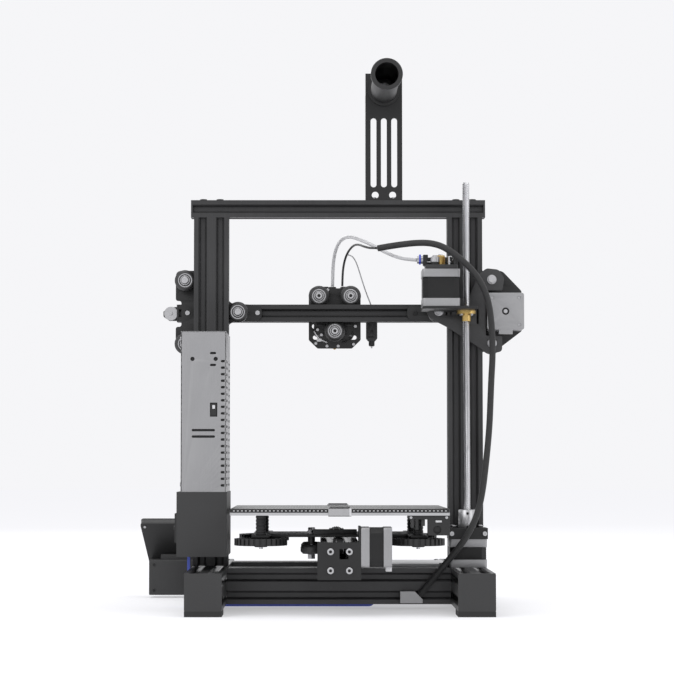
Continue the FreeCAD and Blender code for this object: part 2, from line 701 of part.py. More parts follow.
def gantry_plate_left():
    """The plate on the idler side, its three wheel bolts, and the cheek and pin that carry the X idler."""
    z = GANTRY_Z
    outline = [
        (88, z - 9), (124, z - 11), (146, z - 45), (187.5, z - 45), (187.5, z - 16), (181, z - 16),
        (181, z + 14), (187.5, z + 14), (187.5, z + 49), (146, z + 49), (124, z + 11), (88, z + 9),
    ]
    plate = slab("y", outline, FRONT_PLATE_Y, PLATE_T)
    bolts = []
    for x, dz in GANTRY_WHEELS:
        shank, spacer = wheel_bolt(x, z + dz, WHEEL_HALF + GAP + 4)
        nut = hexagon("y", 8.0, (x, WHEEL_HALF + GAP, z + dz), 4)
        bolts.append(fuse(shank, spacer, nut))
    block = box(BEAM_X[1], BEAM_X[1] + 2.5, X_BEAM_Y - 10, X_BEAM_Y + 10, BEAM_LOW, BEAM_HIGH)
    belt_gap = box(BEAM_X[1] - 1, BEAM_X[1] + 3, X_BEAM_Y - 5, X_BEAM_Y + 5, z - 9, z + 9)
    cheek = box(BEAM_X[1], 203.0, X_BEAM_Y - 10, X_BEAM_Y - 6.5, z - 8, z + 8)
    pin = rod("y", 2.0, (X_IDLER_X, X_BEAM_Y - 7, z), 12)
    return group(plate, *bolts, fuse(block.cut(belt_gap), cheek, pin))


def motor_plate():
    """The front plate on the motor side, which the X motor is screwed to."""
    z = GANTRY_Z
    outline = [
        (-80, z + 9), (-80, z - 9), (-124, z - 11), (-146, z - 45), (-181, z - 45), (-212.4, z - 21.1),
        (-212.4, z + 25.5), (-190, z + 49), (-146, z + 49), (-124, z + 11),
    ]
    plate = slab("y", outline, FRONT_PLATE_Y, PLATE_T)
    return plate.cut(rod("y", MOTOR_BOSS_R + 0.5, (X_MOTOR_X, FRONT_PLATE_Y - 1, z), 5))


def gantry_plates_right():
    """The front plate, the rear plate with the extruder's shelf, the screw's nut, and three long bolts."""
    z = GANTRY_Z
    side = -168.8  # clear of the X motor
    outline = [
        (-97, z + 8), (-105, z - 8), (-124.4, z - 18), (-172, z - 48.5), (-187.5, z - 46), (-187.5, z - 28),
        (side, z - 28), (side, z + 24), (-188, z + 24), (-190, z + 38), (-184, z + 48), (-170, z + 49.5),
        (-160, z + 42), (-150, z + 16),
    ]
    plate = slab("y", outline, REAR_PLATE_Y, PLATE_T)
    shelf = box(-156, -94.5, REAR_PLATE_Y + PLATE_T, EXTRUDER_Y + 22, FLANGE_Z, FLANGE_Z + PLATE_T)
    nut_low = FLANGE_Z - 12
    head_room = rod("y", 5.5, (-INNER_WHEEL_X, REAR_PLATE_Y + PLATE_T, z), 5)
    shelf = less(shelf, head_room, rod("z", 6.0, (SCREW_X, SCREW_Y, FLANGE_Z - 1), 6))
    nut = box(-159.5, -129.5, SCREW_Y - 11, SCREW_Y + 11, nut_low, FLANGE_Z)
    nut = nut.cut(rod("z", SCREW_R + 0.06, (SCREW_X, SCREW_Y, nut_low - 1), 20))
    bolts = []
    for x, dz in GANTRY_WHEELS:
        shank, spacer = wheel_bolt(-x, z + dz, REAR_PLATE_Y)
        rear_spacer = rod("y", 4.0, (-x, WHEEL_HALF + GAP, z + dz), REAR_PLATE_Y - WHEEL_HALF - GAP)
        head = hexagon("y", 8.0, (-x, REAR_PLATE_Y + PLATE_T, z + dz), 4)
        bolts += [fuse(shank, spacer, rear_spacer), head]
    return group(motor_plate(), fuse(plate, shelf), nut, *bolts)


EXTRUDER_TOP = FLANGE_Z + PLATE_T + 42.0
LEVER_PIVOT = (-127.0, 37.0)
GEAR_R = 5.5


def extruder_body():
    """The feeder on the extruder motor: its base, drive gear, tube fitting, and the lever's post."""
    base = box(-134.0, -98.0, 31.0, 69.0, EXTRUDER_TOP, EXTRUDER_TOP + 5)
    deck = EXTRUDER_TOP + 5
    boss_room = rod("z", MOTOR_BOSS_R + 0.5, (EXTRUDER_X, EXTRUDER_Y, EXTRUDER_TOP - 1), 4)
    base = less(base, boss_room, rod("z", GEAR_R + 1, (EXTRUDER_X, EXTRUDER_Y, EXTRUDER_TOP), 6))
    holder = box(-101.0, -95.5, 43.0, 57.0, deck, deck + 12)
    fitting = rod("x", 4.5, (-95.5, EXTRUDER_Y, 392.5), 6.5)
    post = rod("z", 2.5, (*LEVER_PIVOT, deck), 12)
    stop = box(-134.0, -129.0, 56.0, 69.0, deck, deck + 12)
    idle_bearing = rod("z", 5.0, (-108.5, 62.0, deck), 9)
    gear = rod("z", GEAR_R, (EXTRUDER_X, EXTRUDER_Y, EXTRUDER_TOP + 2), 14.5)
    return group(fuse(base, holder, fitting, post, stop, idle_bearing), gear)


def extruder_lever():
    """The sprung lever that is squeezed to free the filament."""
    low = EXTRUDER_TOP + 5.4
    x, y = LEVER_PIVOT
    arm = slab("z", [(x - 6, y - 5), (x + 30, y - 5), (x + 30, y), (x + 6, y + 5), (x - 6, y + 5)], low, 10)
    return arm.cut(rod("z", 2.56, (x, y, low - 1), 12))


def x_pulley():
    shaft = rod("y", 2.5, (X_MOTOR_X, -31.0, GANTRY_Z), 15.7)
    return fuse(laid(pulley(8.6), "y", (X_MOTOR_X, X_BEAM_Y, GANTRY_Z)), shaft)


def x_idler():
    roller = pulley(8.6).cut(rod("z", 2.05, (0, 0, -5), 10))
    return laid(roller, "y", (X_IDLER_X, X_BEAM_Y, GANTRY_Z))


def x_belt():
    y = X_BEAM_Y - BELT_HALF
    return belt("y", (X_MOTOR_X, y, GANTRY_Z), (X_IDLER_X, y, GANTRY_Z), BELT_T)


# The print head
CARRIAGE_WHEELS = [
    (-CARRIAGE_WHEEL_DX, CELL / 2 + WHEEL_OFF),
    (CARRIAGE_WHEEL_DX, CELL / 2 + WHEEL_OFF),
    (0.0, -CELL / 2 - WHEEL_OFF),
]


def carriage_plate():
    """The plate in front of the beam and its three wheel bolts."""
    x, z = CARRIAGE_X, GANTRY_Z
    outline = [
        (x - 30.3, z - 30), (x - 18, z - 39.9), (x + 18, z - 39.9), (x + 30.3, z - 30),
        (x + 30.3, z + 18), (x + 20, z + 32.5), (x - 20, z + 32.5), (x - 30.3, z + 18),
    ]
    plate = slab("y", outline, CARRIAGE_PLATE_Y, PLATE_T)
    rear = CARRIAGE_PLATE_Y + PLATE_T
    bolts = []
    for dx, dz in CARRIAGE_WHEELS:
        far = X_BEAM_Y + WHEEL_HALF + GAP
        shank = rod("y", BOLT_R, (x + dx, rear, z + dz), far + 3.4 - rear)
        spacer = rod("y", 4.0, (x + dx, rear, z + dz), X_BEAM_Y - WHEEL_HALF - GAP - rear)
        nut = hexagon("y", 8.0, (x + dx, far, z + dz), 3.4)
        bolts.append(fuse(shank, spacer, nut))
    return group(plate, *bolts)


def hotend():
    """The cooling shroud with the heater block, nozzle and tube fitting."""
    x, front = CARRIAGE_X, CARRIAGE_PLATE_Y
    shroud = box(x - 24, x + 24, front - 34, front, 312.0, 352.0)
    shroud = rounded(shroud, "y", 4.0)
    duct = slab("y", [(x - 22, 312), (x - 12, 300), (x + 12, 300), (x + 22, 312)], front - 30, 6.0)
    block = box(x - 8, x + 12, NOZZLE_Y - 8, NOZZLE_Y + 8, 301.0, 312.0)
    tip = Part.makeCone(1.0, 4.0, 5.0, Vector(x, NOZZLE_Y, NOZZLE_TIP_Z))
    sink = rod("z", 8.0, (5.7, -50.0, 352.0), 8)
    fitting = rod("z", 4.5, (5.9, -50.0, 360.0), 9.6)
    return fuse(shroud, duct, block, tip, sink, fitting)


PROBE_X = -40.0


def probe():
    """The bed probe on its bracket, beside the hot end."""
    front = CARRIAGE_PLATE_Y
    bracket = box(PROBE_X - 7, -20.5, front - 3, front, 330.0, 342.0)
    arm = box(PROBE_X - 7, PROBE_X + 7, -62.0, front, 342.0, 345.0)
    body = box(PROBE_X - 6.5, PROBE_X + 6.5, -62.0, -50.0, 306.0, 342.0)
    nose = rod("z", 3.5, (PROBE_X, -56.0, 300.0), 6)
    pin = rod("z", 1.0, (PROBE_X, -56.0, 297.6), 3)
    plug = box(PROBE_X - 4, PROBE_X + 4, -59.0, -53.5, 345.0, 346.0)
    return fuse(bracket, arm, body, nose, pin, plug)


# Loose cords
def cord_path(name):
    """Straight runs joined by tangent arcs. Each arc's radius is 0.45 of the shorter run over the tangent
    of half the turn. Gives the wire, and prints its tightest radius and its length."""
    radius, route = CORDS[name]
    corners = [Vector(*p) for p in route]
    edges, radii = [], []
    at = corners[0]
    for before, corner, after in zip(corners, corners[1:], corners[2:]):
        into, out = corner - before, after - corner
        reach = 0.45 * min(into.Length, out.Length)
        into.normalize()
        out.normalize()
        half_turn = into.getAngle(out) / 2
        radii.append(reach / math.tan(half_turn))
        start, end = corner - into * reach, corner + out * reach
        bow = (end - start) * 0.5
        middle_way = (corner - (start + bow)).normalize()
        centre_to_corner = radii[-1] / math.cos(half_turn)
        middle = corner - middle_way * (centre_to_corner - radii[-1])
        edges += [Part.LineSegment(at, start).toShape(), Part.Arc(start, middle, end).toShape()]
        at = end
    edges.append(Part.LineSegment(at, corners[-1]).toShape())
    wire = Part.Wire(edges)
    print(f"{name}: tightest radius {min(radii):.1f} mm, {min(radii) / radius / 2:.1f} diameters, "
          f"length {wire.Length:.1f} mm")
    return wire, corners[1] - corners[0]


def cord(name):
    radius = CORDS[name][0]
    wire, way = cord_path(name)
    start = Vector(*CORDS[name][1][0])
    circle = Part.Wire([Part.Circle(start, way, radius).toShape()])
    tube = wire.makePipeShell([circle], True, False)
    expected = math.pi * radius**2 * wire.Length
    print(f"{name}: volume {tube.Volume:.0f} mm3 for {expected:.0f} expected, valid {tube.isValid()}")
    return tube


def parts():
    """Every node's name and shape."""
    made = {
        "base_rails": base_rails(),
        "y_rail": y_rail(),
        "portal_rails": portal_rails(),
        "end_caps": end_caps(),
        "rubber_feet": rubber_feet(),
        "psu_case": psu_case(),
        "psu_cover": psu_cover(),
        "power_switch": power_switch(),
        "psu_lead": psu_lead(),
        "electronics_case": electronics_case(),
        "screen_case": screen_case(),
        "screen_knob": screen_knob(),
        "z_motor": z_motor(),
        "y_motor": y_motor(),
        "motor_brackets": motor_brackets(),
        "y_tensioner": y_tensioner(),
        "y_pulley": y_pulley(),
        "y_idler": y_idler(),
        "y_belt": y_belt(),
        "lead_screw": lead_screw(),
        "spool_bracket": spool_bracket(),
        "spool_arm": spool_arm(),
        "glass_plate": glass_plate(),
        "heated_bed": heated_bed(),
        "bed_carriage": bed_carriage(),
        "bed_fittings": bed_fittings(),
        "x_beam": x_beam(),
        "gantry_plate_left": gantry_plate_left(),
        "gantry_plates_right": gantry_plates_right(),
        "x_motor": x_motor(),
        "extruder_motor": extruder_motor(),
        "extruder_body": extruder_body(),
        "extruder_lever": extruder_lever(),
        "x_pulley": x_pulley(),
        "x_idler": x_idler(),
        "x_belt": x_belt(),
        "carriage_plate": carriage_plate(),
        "hotend": hotend(),
        "probe": probe(),
    }
    half = COLUMN_PITCH / 2
    for i, (x, y) in enumerate(bed_points(half, half), 1):
        made[f"bed_knob_{i}"] = bed_knob(x, y)
    for i, (x, y) in enumerate(bed_points(CELL + WHEEL_OFF, BED_WHEEL_DY), 1):
        made[f"bed_wheel_{i}"] = placed_wheel("z", (x, y, Y_RAIL_Z + CELL / 2))
    for i, (x, dz) in enumerate(GANTRY_WHEELS, 1):
        made[f"left_wheel_{i}"] = placed_wheel("y", (x, 0, GANTRY_Z + dz))
        made[f"right_wheel_{i}"] = placed_wheel("y", (-x, 0, GANTRY_Z + dz))
    for i, (dx, dz) in enumerate(CARRIAGE_WHEELS, 1):
        made[f"carriage_wheel_{i}"] = placed_wheel("y", (CARRIAGE_X + dx, X_BEAM_Y, GANTRY_Z + dz))
    for name in CORDS:
        made[name] = cord(name)
    return made


# The machine's middle on the floor, from its outermost flat faces
MIDDLE_X = (SCREEN_X[1] + X_MOTOR_X - MOTOR / 2) / 2
MIDDLE_Y = (BASE_HALF_DEPTH + KNOB_FRONT_Y) / 2


def main():
    os.makedirs("parts", exist_ok=True)
    made = parts()
    for name, shape in made.items():
        shape.translate(Vector(-MIDDLE_X, -MIDDLE_Y, 0))
        shape.exportStep(f"parts/{name}.step")
    print(f"{len(made)} nodes, moved by {-MIDDLE_X:.3f}, {-MIDDLE_Y:.3f}")


main()
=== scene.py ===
import json
import math

import bmesh
import bpy
from mathutils import Matrix, Vector


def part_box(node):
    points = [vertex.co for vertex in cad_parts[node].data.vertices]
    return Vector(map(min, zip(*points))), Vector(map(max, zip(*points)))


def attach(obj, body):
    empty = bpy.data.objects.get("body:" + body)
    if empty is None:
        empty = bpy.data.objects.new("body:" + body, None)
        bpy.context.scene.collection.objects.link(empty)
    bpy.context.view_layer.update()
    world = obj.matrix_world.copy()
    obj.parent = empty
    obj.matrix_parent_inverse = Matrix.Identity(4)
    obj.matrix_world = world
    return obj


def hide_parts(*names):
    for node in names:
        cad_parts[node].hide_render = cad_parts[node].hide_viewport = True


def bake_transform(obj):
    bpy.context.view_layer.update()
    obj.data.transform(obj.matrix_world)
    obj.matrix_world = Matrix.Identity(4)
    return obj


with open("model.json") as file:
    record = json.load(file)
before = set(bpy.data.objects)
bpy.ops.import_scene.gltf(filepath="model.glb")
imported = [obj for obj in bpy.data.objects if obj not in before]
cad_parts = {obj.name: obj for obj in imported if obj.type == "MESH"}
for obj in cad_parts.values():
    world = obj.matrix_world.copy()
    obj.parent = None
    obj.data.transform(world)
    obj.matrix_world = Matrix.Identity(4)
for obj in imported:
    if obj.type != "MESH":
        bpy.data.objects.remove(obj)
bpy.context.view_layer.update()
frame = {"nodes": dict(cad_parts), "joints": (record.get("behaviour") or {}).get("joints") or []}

scene = bpy.context.scene
scene.view_settings.view_transform = "Standard"
mm = 0.001
xAxis, yAxis, zAxis = Vector((1, 0, 0)), Vector((0, 1, 0)), Vector((0, 0, 1))


def middleOf(node):
    low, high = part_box(node)
    return (low + high) / 2


railMiddle = middleOf("y_rail").x  # the bed rail's middle plane
portalMiddle = middleOf("portal_rails").y  # the two uprights' middle plane


# point: millimetres from the bed rail, the uprights and the floor, as a place in the frame
def at(x, y, z):
    return Vector((railMiddle + x * mm, portalMiddle + y * mm, z * mm))


print("stage: frame", len(frame["nodes"]), "nodes")

# camera: a long lens behind the machine, near the floor, tipped up a little
cameraSetup = {"lens": 125.0, "shift": 0.033, "place": (26.84, 2695.5, 162.5), "tip": 3.065}
cameraData = bpy.data.cameras.new("camera")
cameraData.lens = cameraSetup["lens"]
cameraData.shift_x = cameraSetup["shift"]
camera = bpy.data.objects.new("camera", cameraData)
camera.location = at(*cameraSetup["place"])
camera.rotation_euler = (math.radians(90 + cameraSetup["tip"]), 0, math.radians(180))
scene.collection.objects.link(camera)
scene.camera = camera


# materials
# colour: base and second colour; grain: size of the pattern in mm along x, y, z; bump in mm
finishes = {
    # along X: the same anodised aluminium as along Y, its colours darkened to 0.72 of those as painted
    # shade
    "anodisedAlongXPaintedShade": {
        "colours": (0.0288, 0.0446), "metal": 0.55, "rough": (0.34, 0.46), "grain": (60, 0.5, 0.5),
        "bump": 0.012
    },
    "anodisedAlongY": {
        "colours": (0.040, 0.062), "metal": 0.55, "rough": (0.34, 0.46), "grain": (0.5, 60, 0.5),
        "bump": 0.012
    },
    # along Z: the same anodised aluminium as along Y, its colours darkened to 0.9 of those as painted shade
    "anodisedAlongZPaintedShade": {
        "colours": (0.036, 0.0558), "metal": 0.55, "rough": (0.34, 0.46), "grain": (0.5, 0.5, 60),
        "bump": 0.012
    },
    "blackSteel": {
        "colours": (0.011, 0.0165), "metal": 0.25, "rough": (0.38, 0.52), "grain": (0.5, 0.5, 0.5),
        "bump": 0.02
    },
    "greySteel": {
        "colours": (0.036, 0.048), "metal": 0.3, "rough": (0.40, 0.52), "grain": (0.5, 0.5, 0.5),
        "bump": 0.02
    },
    "blackPlastic": {
        "colours": (0.0084, 0.014), "metal": 0.0, "rough": (0.42, 0.58), "grain": (0.35, 0.35, 0.35),
        "bump": 0.02
    },
    "greyPlastic": {
        "colours": (0.0234, 0.0309), "metal": 0.0, "rough": (0.50, 0.64), "grain": (0.35, 0.35, 0.35),
        "bump": 0.02
    },
    "rubberPad": {
        "colours": (0.016, 0.026), "metal": 0.0, "rough": (0.75, 0.9), "grain": (0.8, 0.8, 0.8),
        "bump": 0.04
    },
    "tyreResin": {
        "colours": (0.022, 0.034), "metal": 0.0, "rough": (0.34, 0.46), "grain": (0.5, 0.5, 0.5),
        "bump": 0.01
    },
    "brushedSheet": {
        "colours": (0.288, 0.336), "metal": 0.55, "rough": (0.34, 0.46), "grain": (0.3, 0.3, 30),
        "bump": 0.006
    },
    "paleSheet": {
        "colours": (0.36, 0.414), "metal": 0.35, "rough": (0.38, 0.5), "grain": (8, 8, 8), "bump": 0.01
    },
    "castCap": {
        "colours": (0.274, 0.36), "metal": 0.5, "rough": (0.36, 0.5), "grain": (0.6, 0.6, 0.6), "bump": 0.03
    },
    "stator": {
        "colours": (0.010, 0.018), "metal": 0.3, "rough": (0.35, 0.5), "grain": (2, 2, 2), "bump": 0.01
    },
    "brightSteel": {
        "colours": (0.561, 0.714), "metal": 1.0, "rough": (0.18, 0.3), "grain": (0.8, 0.8, 0.8),
        "bump": 0.004
    },
    "zincPlate": {
        "colours": (0.432, 0.533), "metal": 0.8, "rough": (0.24, 0.38), "grain": (1.5, 1.5, 1.5),
        "bump": 0.006
    },
    "milledAlloy": {
        "colours": (0.425, 0.527), "metal": 0.8, "rough": (0.28, 0.4), "grain": (40, 0.4, 0.4),
        "bump": 0.006
    },
    "brass": {
        "colours": ((0.52, 0.36, 0.13), (0.66, 0.47, 0.18)), "metal": 1.0, "rough": (0.25, 0.38),
        "grain": (1, 1, 1), "bump": 0.004
    },
    "beltRubber": {
        "colours": (0.012, 0.020), "metal": 0.0, "rough": (0.6, 0.75), "grain": (0.5, 0.5, 0.5),
        "bump": 0.02
    },
    "milkyTube": {
        "colours": (0.52, 0.62), "metal": 0.0, "rough": (0.22, 0.34), "grain": (6, 6, 6), "bump": 0.004,
        "glow": 0.25
    },
    "cableJacket": {
        "colours": (0.010, 0.016), "metal": 0.0, "rough": (0.35, 0.5), "grain": (2, 2, 2), "bump": 0.01
    },
    "paleWire": {
        "colours": (0.42, 0.50), "metal": 0.0, "rough": (0.35, 0.5), "grain": (2, 2, 2), "bump": 0.004
    },
    "palePlug": {
        "colours": (0.56, 0.66), "metal": 0.0, "rough": (0.35, 0.5), "grain": (1, 1, 1), "bump": 0.006
    },
    "blueClip": {
        "colours": ((0.03, 0.06, 0.50), (0.04, 0.08, 0.62)), "metal": 0.0, "rough": (0.3, 0.42),
        "grain": (1, 1, 1), "bump": 0.006
    },
    "blueJacket": {
        "colours": ((0.055, 0.085, 0.42), (0.07, 0.11, 0.5)), "metal": 0.0, "rough": (0.35, 0.5),
        "grain": (20, 20, 20), "bump": 0.006
    },
    "displayGlass": {
        "colours": (0.006, 0.010), "metal": 0.0, "rough": (0.06, 0.12), "grain": (30, 30, 30), "bump": 0.0
    },
    "labelPaper": {
        "colours": (0.55, 0.62), "metal": 0.0, "rough": (0.5, 0.6), "grain": (4, 4, 4), "bump": 0.004
    },
}


def colourOf(value):
    return (*value, 1) if isinstance(value, tuple) else (value, value, value * 1.02, 1)


def makeFinish(name, look):
    material = bpy.data.materials.new(name)
    material.use_nodes = True
    nodes, links = material.node_tree.nodes, material.node_tree.links
    shader = nodes["Principled BSDF"]
    shader.inputs["Metallic"].default_value = look["metal"]
    place = nodes.new("ShaderNodeTexCoord")
    stretch = nodes.new("ShaderNodeMapping")
    stretch.inputs["Scale"].default_value = [1 / (size * mm) for size in look["grain"]]
    links.new(place.outputs["Object"], stretch.inputs["Vector"])
    fine = nodes.new("ShaderNodeTexNoise")
    fine.inputs["Scale"].default_value = 1.0
    fine.inputs["Detail"].default_value = 3.0
    links.new(stretch.outputs["Vector"], fine.inputs["Vector"])
    wide = nodes.new("ShaderNodeTexNoise")  # slow change over the piece, as handling leaves
    wide.inputs["Scale"].default_value = 22.0
    wide.inputs["Detail"].default_value = 4.0
    links.new(place.outputs["Object"], wide.inputs["Vector"])
    both = nodes.new("ShaderNodeMix")
    both.data_type = "FLOAT"
    both.inputs["Factor"].default_value = 0.45
    links.new(fine.outputs["Fac"], both.inputs["A"])
    links.new(wide.outputs["Fac"], both.inputs["B"])
    ramp = nodes.new("ShaderNodeValToRGB")
    ramp.color_ramp.elements[0].position = 0.32
    ramp.color_ramp.elements[1].position = 0.68
    for element, value in zip(ramp.color_ramp.elements, look["colours"]):
        element.color = colourOf(value)
    links.new(both.outputs["Result"], ramp.inputs["Fac"])
    links.new(ramp.outputs["Color"], shader.inputs["Base Color"])
    gloss = nodes.new("ShaderNodeMapRange")
    gloss.inputs["To Min"].default_value, gloss.inputs["To Max"].default_value = look["rough"]
    gloss.inputs["From Min"].default_value, gloss.inputs["From Max"].default_value = 0.3, 0.7
    links.new(both.outputs["Result"], gloss.inputs["Value"])
    links.new(gloss.outputs["Result"], shader.inputs["Roughness"])
    if look["bump"]:
        bump = nodes.new("ShaderNodeBump")
        bump.inputs["Strength"].default_value = 0.6
        bump.inputs["Distance"].default_value = look["bump"] * mm
        links.new(fine.outputs["Fac"], bump.inputs["Height"])
        links.new(bump.outputs["Normal"], shader.inputs["Normal"])
    if "glow" in look:
        shader.inputs["Subsurface Weight"].default_value = look["glow"]
        shader.inputs["Subsurface Radius"].default_value = (0.004, 0.004, 0.004)
    return material


materials = {name: makeFinish(name, look) for name, look in finishes.items()}


braidSetup = {"turns": 16, "pitch": 2.6, "light": 0.022, "dark": 0.004}


def makeBraid():  # woven: two sets of bands that cross, on the sleeve's own length and turn
    material = bpy.data.materials.new("braidedSleeve")
    material.use_nodes = True
    nodes, links = material.node_tree.nodes, material.node_tree.links
    shader = nodes["Principled BSDF"]
    shader.inputs["Sheen Weight"].default_value = 0.05
    way = nodes.new("ShaderNodeUVMap")
    way.uv_map = "along"
    parts = nodes.new("ShaderNodeSeparateXYZ")
    links.new(way.outputs["UV"], parts.inputs["Vector"])
    bands = []
    for sign in (1, -1):
        turn = nodes.new("ShaderNodeMath")
        turn.operation = "MULTIPLY_ADD"  # bands wind round the sleeve one way, then the other
        turn.inputs[1].default_value = sign * braidSetup["turns"] / 2
        links.new(parts.outputs["Y"], turn.inputs[0])
        run = nodes.new("ShaderNodeMath")
        run.operation = "MULTIPLY"
        run.inputs[1].default_value = 1000 / braidSetup["pitch"]
        links.new(parts.outputs["X"], run.inputs[0])
        links.new(run.outputs[0], turn.inputs[2])
        wave = nodes.new("ShaderNodeMath")
        wave.operation = "SINE"
        scale = nodes.new("ShaderNodeMath")
        scale.operation = "MULTIPLY"
        scale.inputs[1].default_value = math.tau
        links.new(turn.outputs[0], scale.inputs[0])
        links.new(scale.outputs[0], wave.inputs[0])
        bands.append(wave)
    weave = nodes.new("ShaderNodeMath")
    weave.operation = "MULTIPLY"
    links.new(bands[0].outputs[0], weave.inputs[0])
    links.new(bands[1].outputs[0], weave.inputs[1])
    ramp = nodes.new("ShaderNodeValToRGB")
    ramp.color_ramp.elements[0].color = colourOf(braidSetup["dark"])
    ramp.color_ramp.elements[1].color = colourOf(braidSetup["light"])
    share = nodes.new("ShaderNodeMapRange")
    share.inputs["From Min"].default_value = -1.0
    links.new(weave.outputs[0], share.inputs["Value"])
    links.new(share.outputs["Result"], ramp.inputs["Fac"])
    links.new(ramp.outputs["Color"], shader.inputs["Base Color"])
    gloss = nodes.new("ShaderNodeMapRange")
    gloss.inputs["To Min"].default_value, gloss.inputs["To Max"].default_value = 0.7, 0.42
    links.new(share.outputs["Result"], gloss.inputs["Value"])
    links.new(gloss.outputs["Result"], shader.inputs["Roughness"])
    bump = nodes.new("ShaderNodeBump")
    bump.inputs["Strength"].default_value = 0.8
    bump.inputs["Distance"].default_value = 0.25 * mm
    links.new(share.outputs["Result"], bump.inputs["Height"])
    links.new(bump.outputs["Normal"], shader.inputs["Normal"])
    return material


materials["braidedSleeve"] = makeBraid()
print("stage: materials", len(materials))


# cords
# each one's radius in mm, its finish, the joint's two bodies and the route's points, as in the design
cords = {
    "cable_sleeve": {"radius": 3.6, "finish": "braidedSleeve", "bodies": ("gantry", "frame"), "route": [
        (-44.5, 58, 405.0), (-57, 62, 407.0), (-72, 69, 408.5), (-87, 76, 409.5), (-101, 81, 409.0),
        (-113, 83.5, 406.0), (-123, 84.5, 400.5), (-134, 85, 392.5),
        (-145, 84, 382.5), (-155, 81, 371.0),
        (-162.5, 77, 358.0), (-168, 72, 343.0), (-171, 67, 326.0),
        (-172.6, 64, 305.0), (-173, 62, 282.0),
        (-171.5, 61.5, 258.0), (-170.4, 62, 233.0), (-169.2, 63, 207.0), (-166.8, 65, 181.0),
        (-164, 67, 157.0), (-161, 69.5, 134.0), (-156.5, 72, 113.0),
        (-150, 74.5, 95.5), (-142, 76.5, 81.0),
        (-132.8, 77.5, 68.5), (-123.5, 77.5, 57.5), (-115, 77, 47.0), (-107, 75.7, 37.0),
        (-99.8, 74.2, 28.5), (-93.9, 72.7, 21.7), (-88.9, 72, 16.7),
    ]},
    "bowden_tube": {"radius": 2.0, "finish": "milkyTube", "bodies": ("carriage", "gantry"), "route": [
        (5.9, -50, 370.0), (5.7, -49.6, 384.0), (5.0, -46.5, 398.0),
        (3.0, -40, 410.0), (-1.0, -30, 419.5),
        (-7.5, -16, 424.5), (-16, 0, 423.5), (-27, 17, 418.0), (-39, 32, 411.0), (-51, 43, 403.0),
        (-63, 48.5, 397.0), (-75, 50, 393.4), (-88.8, 50, 392.5),
    ]},
    "hotend_cable": {"radius": 1.3, "finish": "cableJacket", "bodies": ("carriage", "gantry"), "route": [
        (-5.5, -46, 370.0), (-5.7, -45.6, 380.0), (-6.4, -43.5, 390.5), (-8.4, -38, 401.0),
        (-12.5, -28.5, 410.0), (-18.5, -14, 415.5), (-24, 3, 414.5),
        (-28.5, 21, 410.8), (-34, 36.5, 407.6),
        (-38.8, 47.5, 406.2), (-42.4, 55.2, 405.6),
    ]},
    "probe_wire": {"radius": 0.75, "finish": "paleWire", "bodies": ("carriage", "gantry"), "route": [
        (-12.5, -34.3, 405.7), (-15.8, -37.8, 405.3), (-19.2, -43, 402.6), (-22.4, -48.5, 397.0),
        (-25.4, -53, 388.5), (-28.6, -56, 378.5), (-32.2, -57.7, 367.5), (-35.8, -58.1, 357.8),
        (-38.6, -57.3, 350.7), (-40, -56.2, 346.2),
    ]},
}


def smoothLine(points):  # line: the places along one smooth curve with these points as its controls
    curve = bpy.data.curves.new("line", "CURVE")
    curve.dimensions = "3D"
    curve.resolution_u = 12
    spline = curve.splines.new("NURBS")
    spline.points.add(len(points) - 1)
    for target, point in zip(spline.points, points):
        target.co = (*point, 1)
    spline.order_u = 3
    spline.use_endpoint_u = True
    holder = bpy.data.objects.new("line", curve)
    mesh = bpy.data.meshes.new_from_object(holder)
    line = [vertex.co.copy() for vertex in mesh.vertices]
    bpy.data.objects.remove(holder)
    bpy.data.meshes.remove(mesh)
    return line


# tube: closed, with a map of its length in metres and its turn
def tubeAlong(name, line, radius, sides=16):
    frameBm = bmesh.new()
    layer = frameBm.loops.layers.uv.new("along")
    rings, runs, run = [], [], 0.0
    side = (line[1] - line[0]).cross(xAxis).normalized()
    for i, point in enumerate(line):
        before, after = line[max(i - 1, 0)], line[min(i + 1, len(line) - 1)]
        way = (after - before).normalized()
        side = (side - way * side.dot(way)).normalized()
        up = way.cross(side)
        run += (point - line[i - 1]).length if i else 0.0
        runs.append(run)
        angles = [math.tau * k / sides for k in range(sides)]
        rings.append([
            frameBm.verts.new(point + radius * (math.cos(a) * side + math.sin(a) * up)) for a in angles
        ])
    for i in range(len(rings) - 1):
        for k in range(sides):
            n = (k + 1) % sides
            face = frameBm.faces.new((rings[i][k], rings[i][n], rings[i + 1][n], rings[i + 1][k]))
            face.smooth = True
            spots = [(runs[i], k), (runs[i], k + 1), (runs[i + 1], k + 1), (runs[i + 1], k)]
            for loop, (along, turn) in zip(face.loops, spots):
                loop[layer].uv = (along, turn / sides)
    frameBm.faces.new(list(reversed(rings[0])))
    frameBm.faces.new(rings[-1])
    bmesh.ops.recalc_face_normals(frameBm, faces=frameBm.faces)
    mesh = bpy.data.meshes.new(name)
    frameBm.to_mesh(mesh)
    frameBm.free()
    return mesh


def makeCord(node, setup):
    line = smoothLine([at(*point) for point in setup["route"]])
    mesh = tubeAlong(node, line, setup["radius"] * mm)
    mesh.materials.append(materials[setup["finish"]])
    cord = bpy.data.objects.new("shown_" + node, mesh)
    scene.collection.objects.link(cord)
    length = sum((b - a).length for a, b in zip(line, line[1:]))
    return cord, line, length


def blendAway(cord):  # bakes the cord's place into its mesh; the cord is tied to no body
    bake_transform(cord)


for node, setup in cords.items():
    cord, line, length = makeCord(node, setup)
    blendAway(cord)
    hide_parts(node)
    print("stage: cord", node, round(length, 4))


# floor and light
stageSetup = {"floor": 0.55, "lift": 0.41, "world": 0.92, "reach": 12.0}


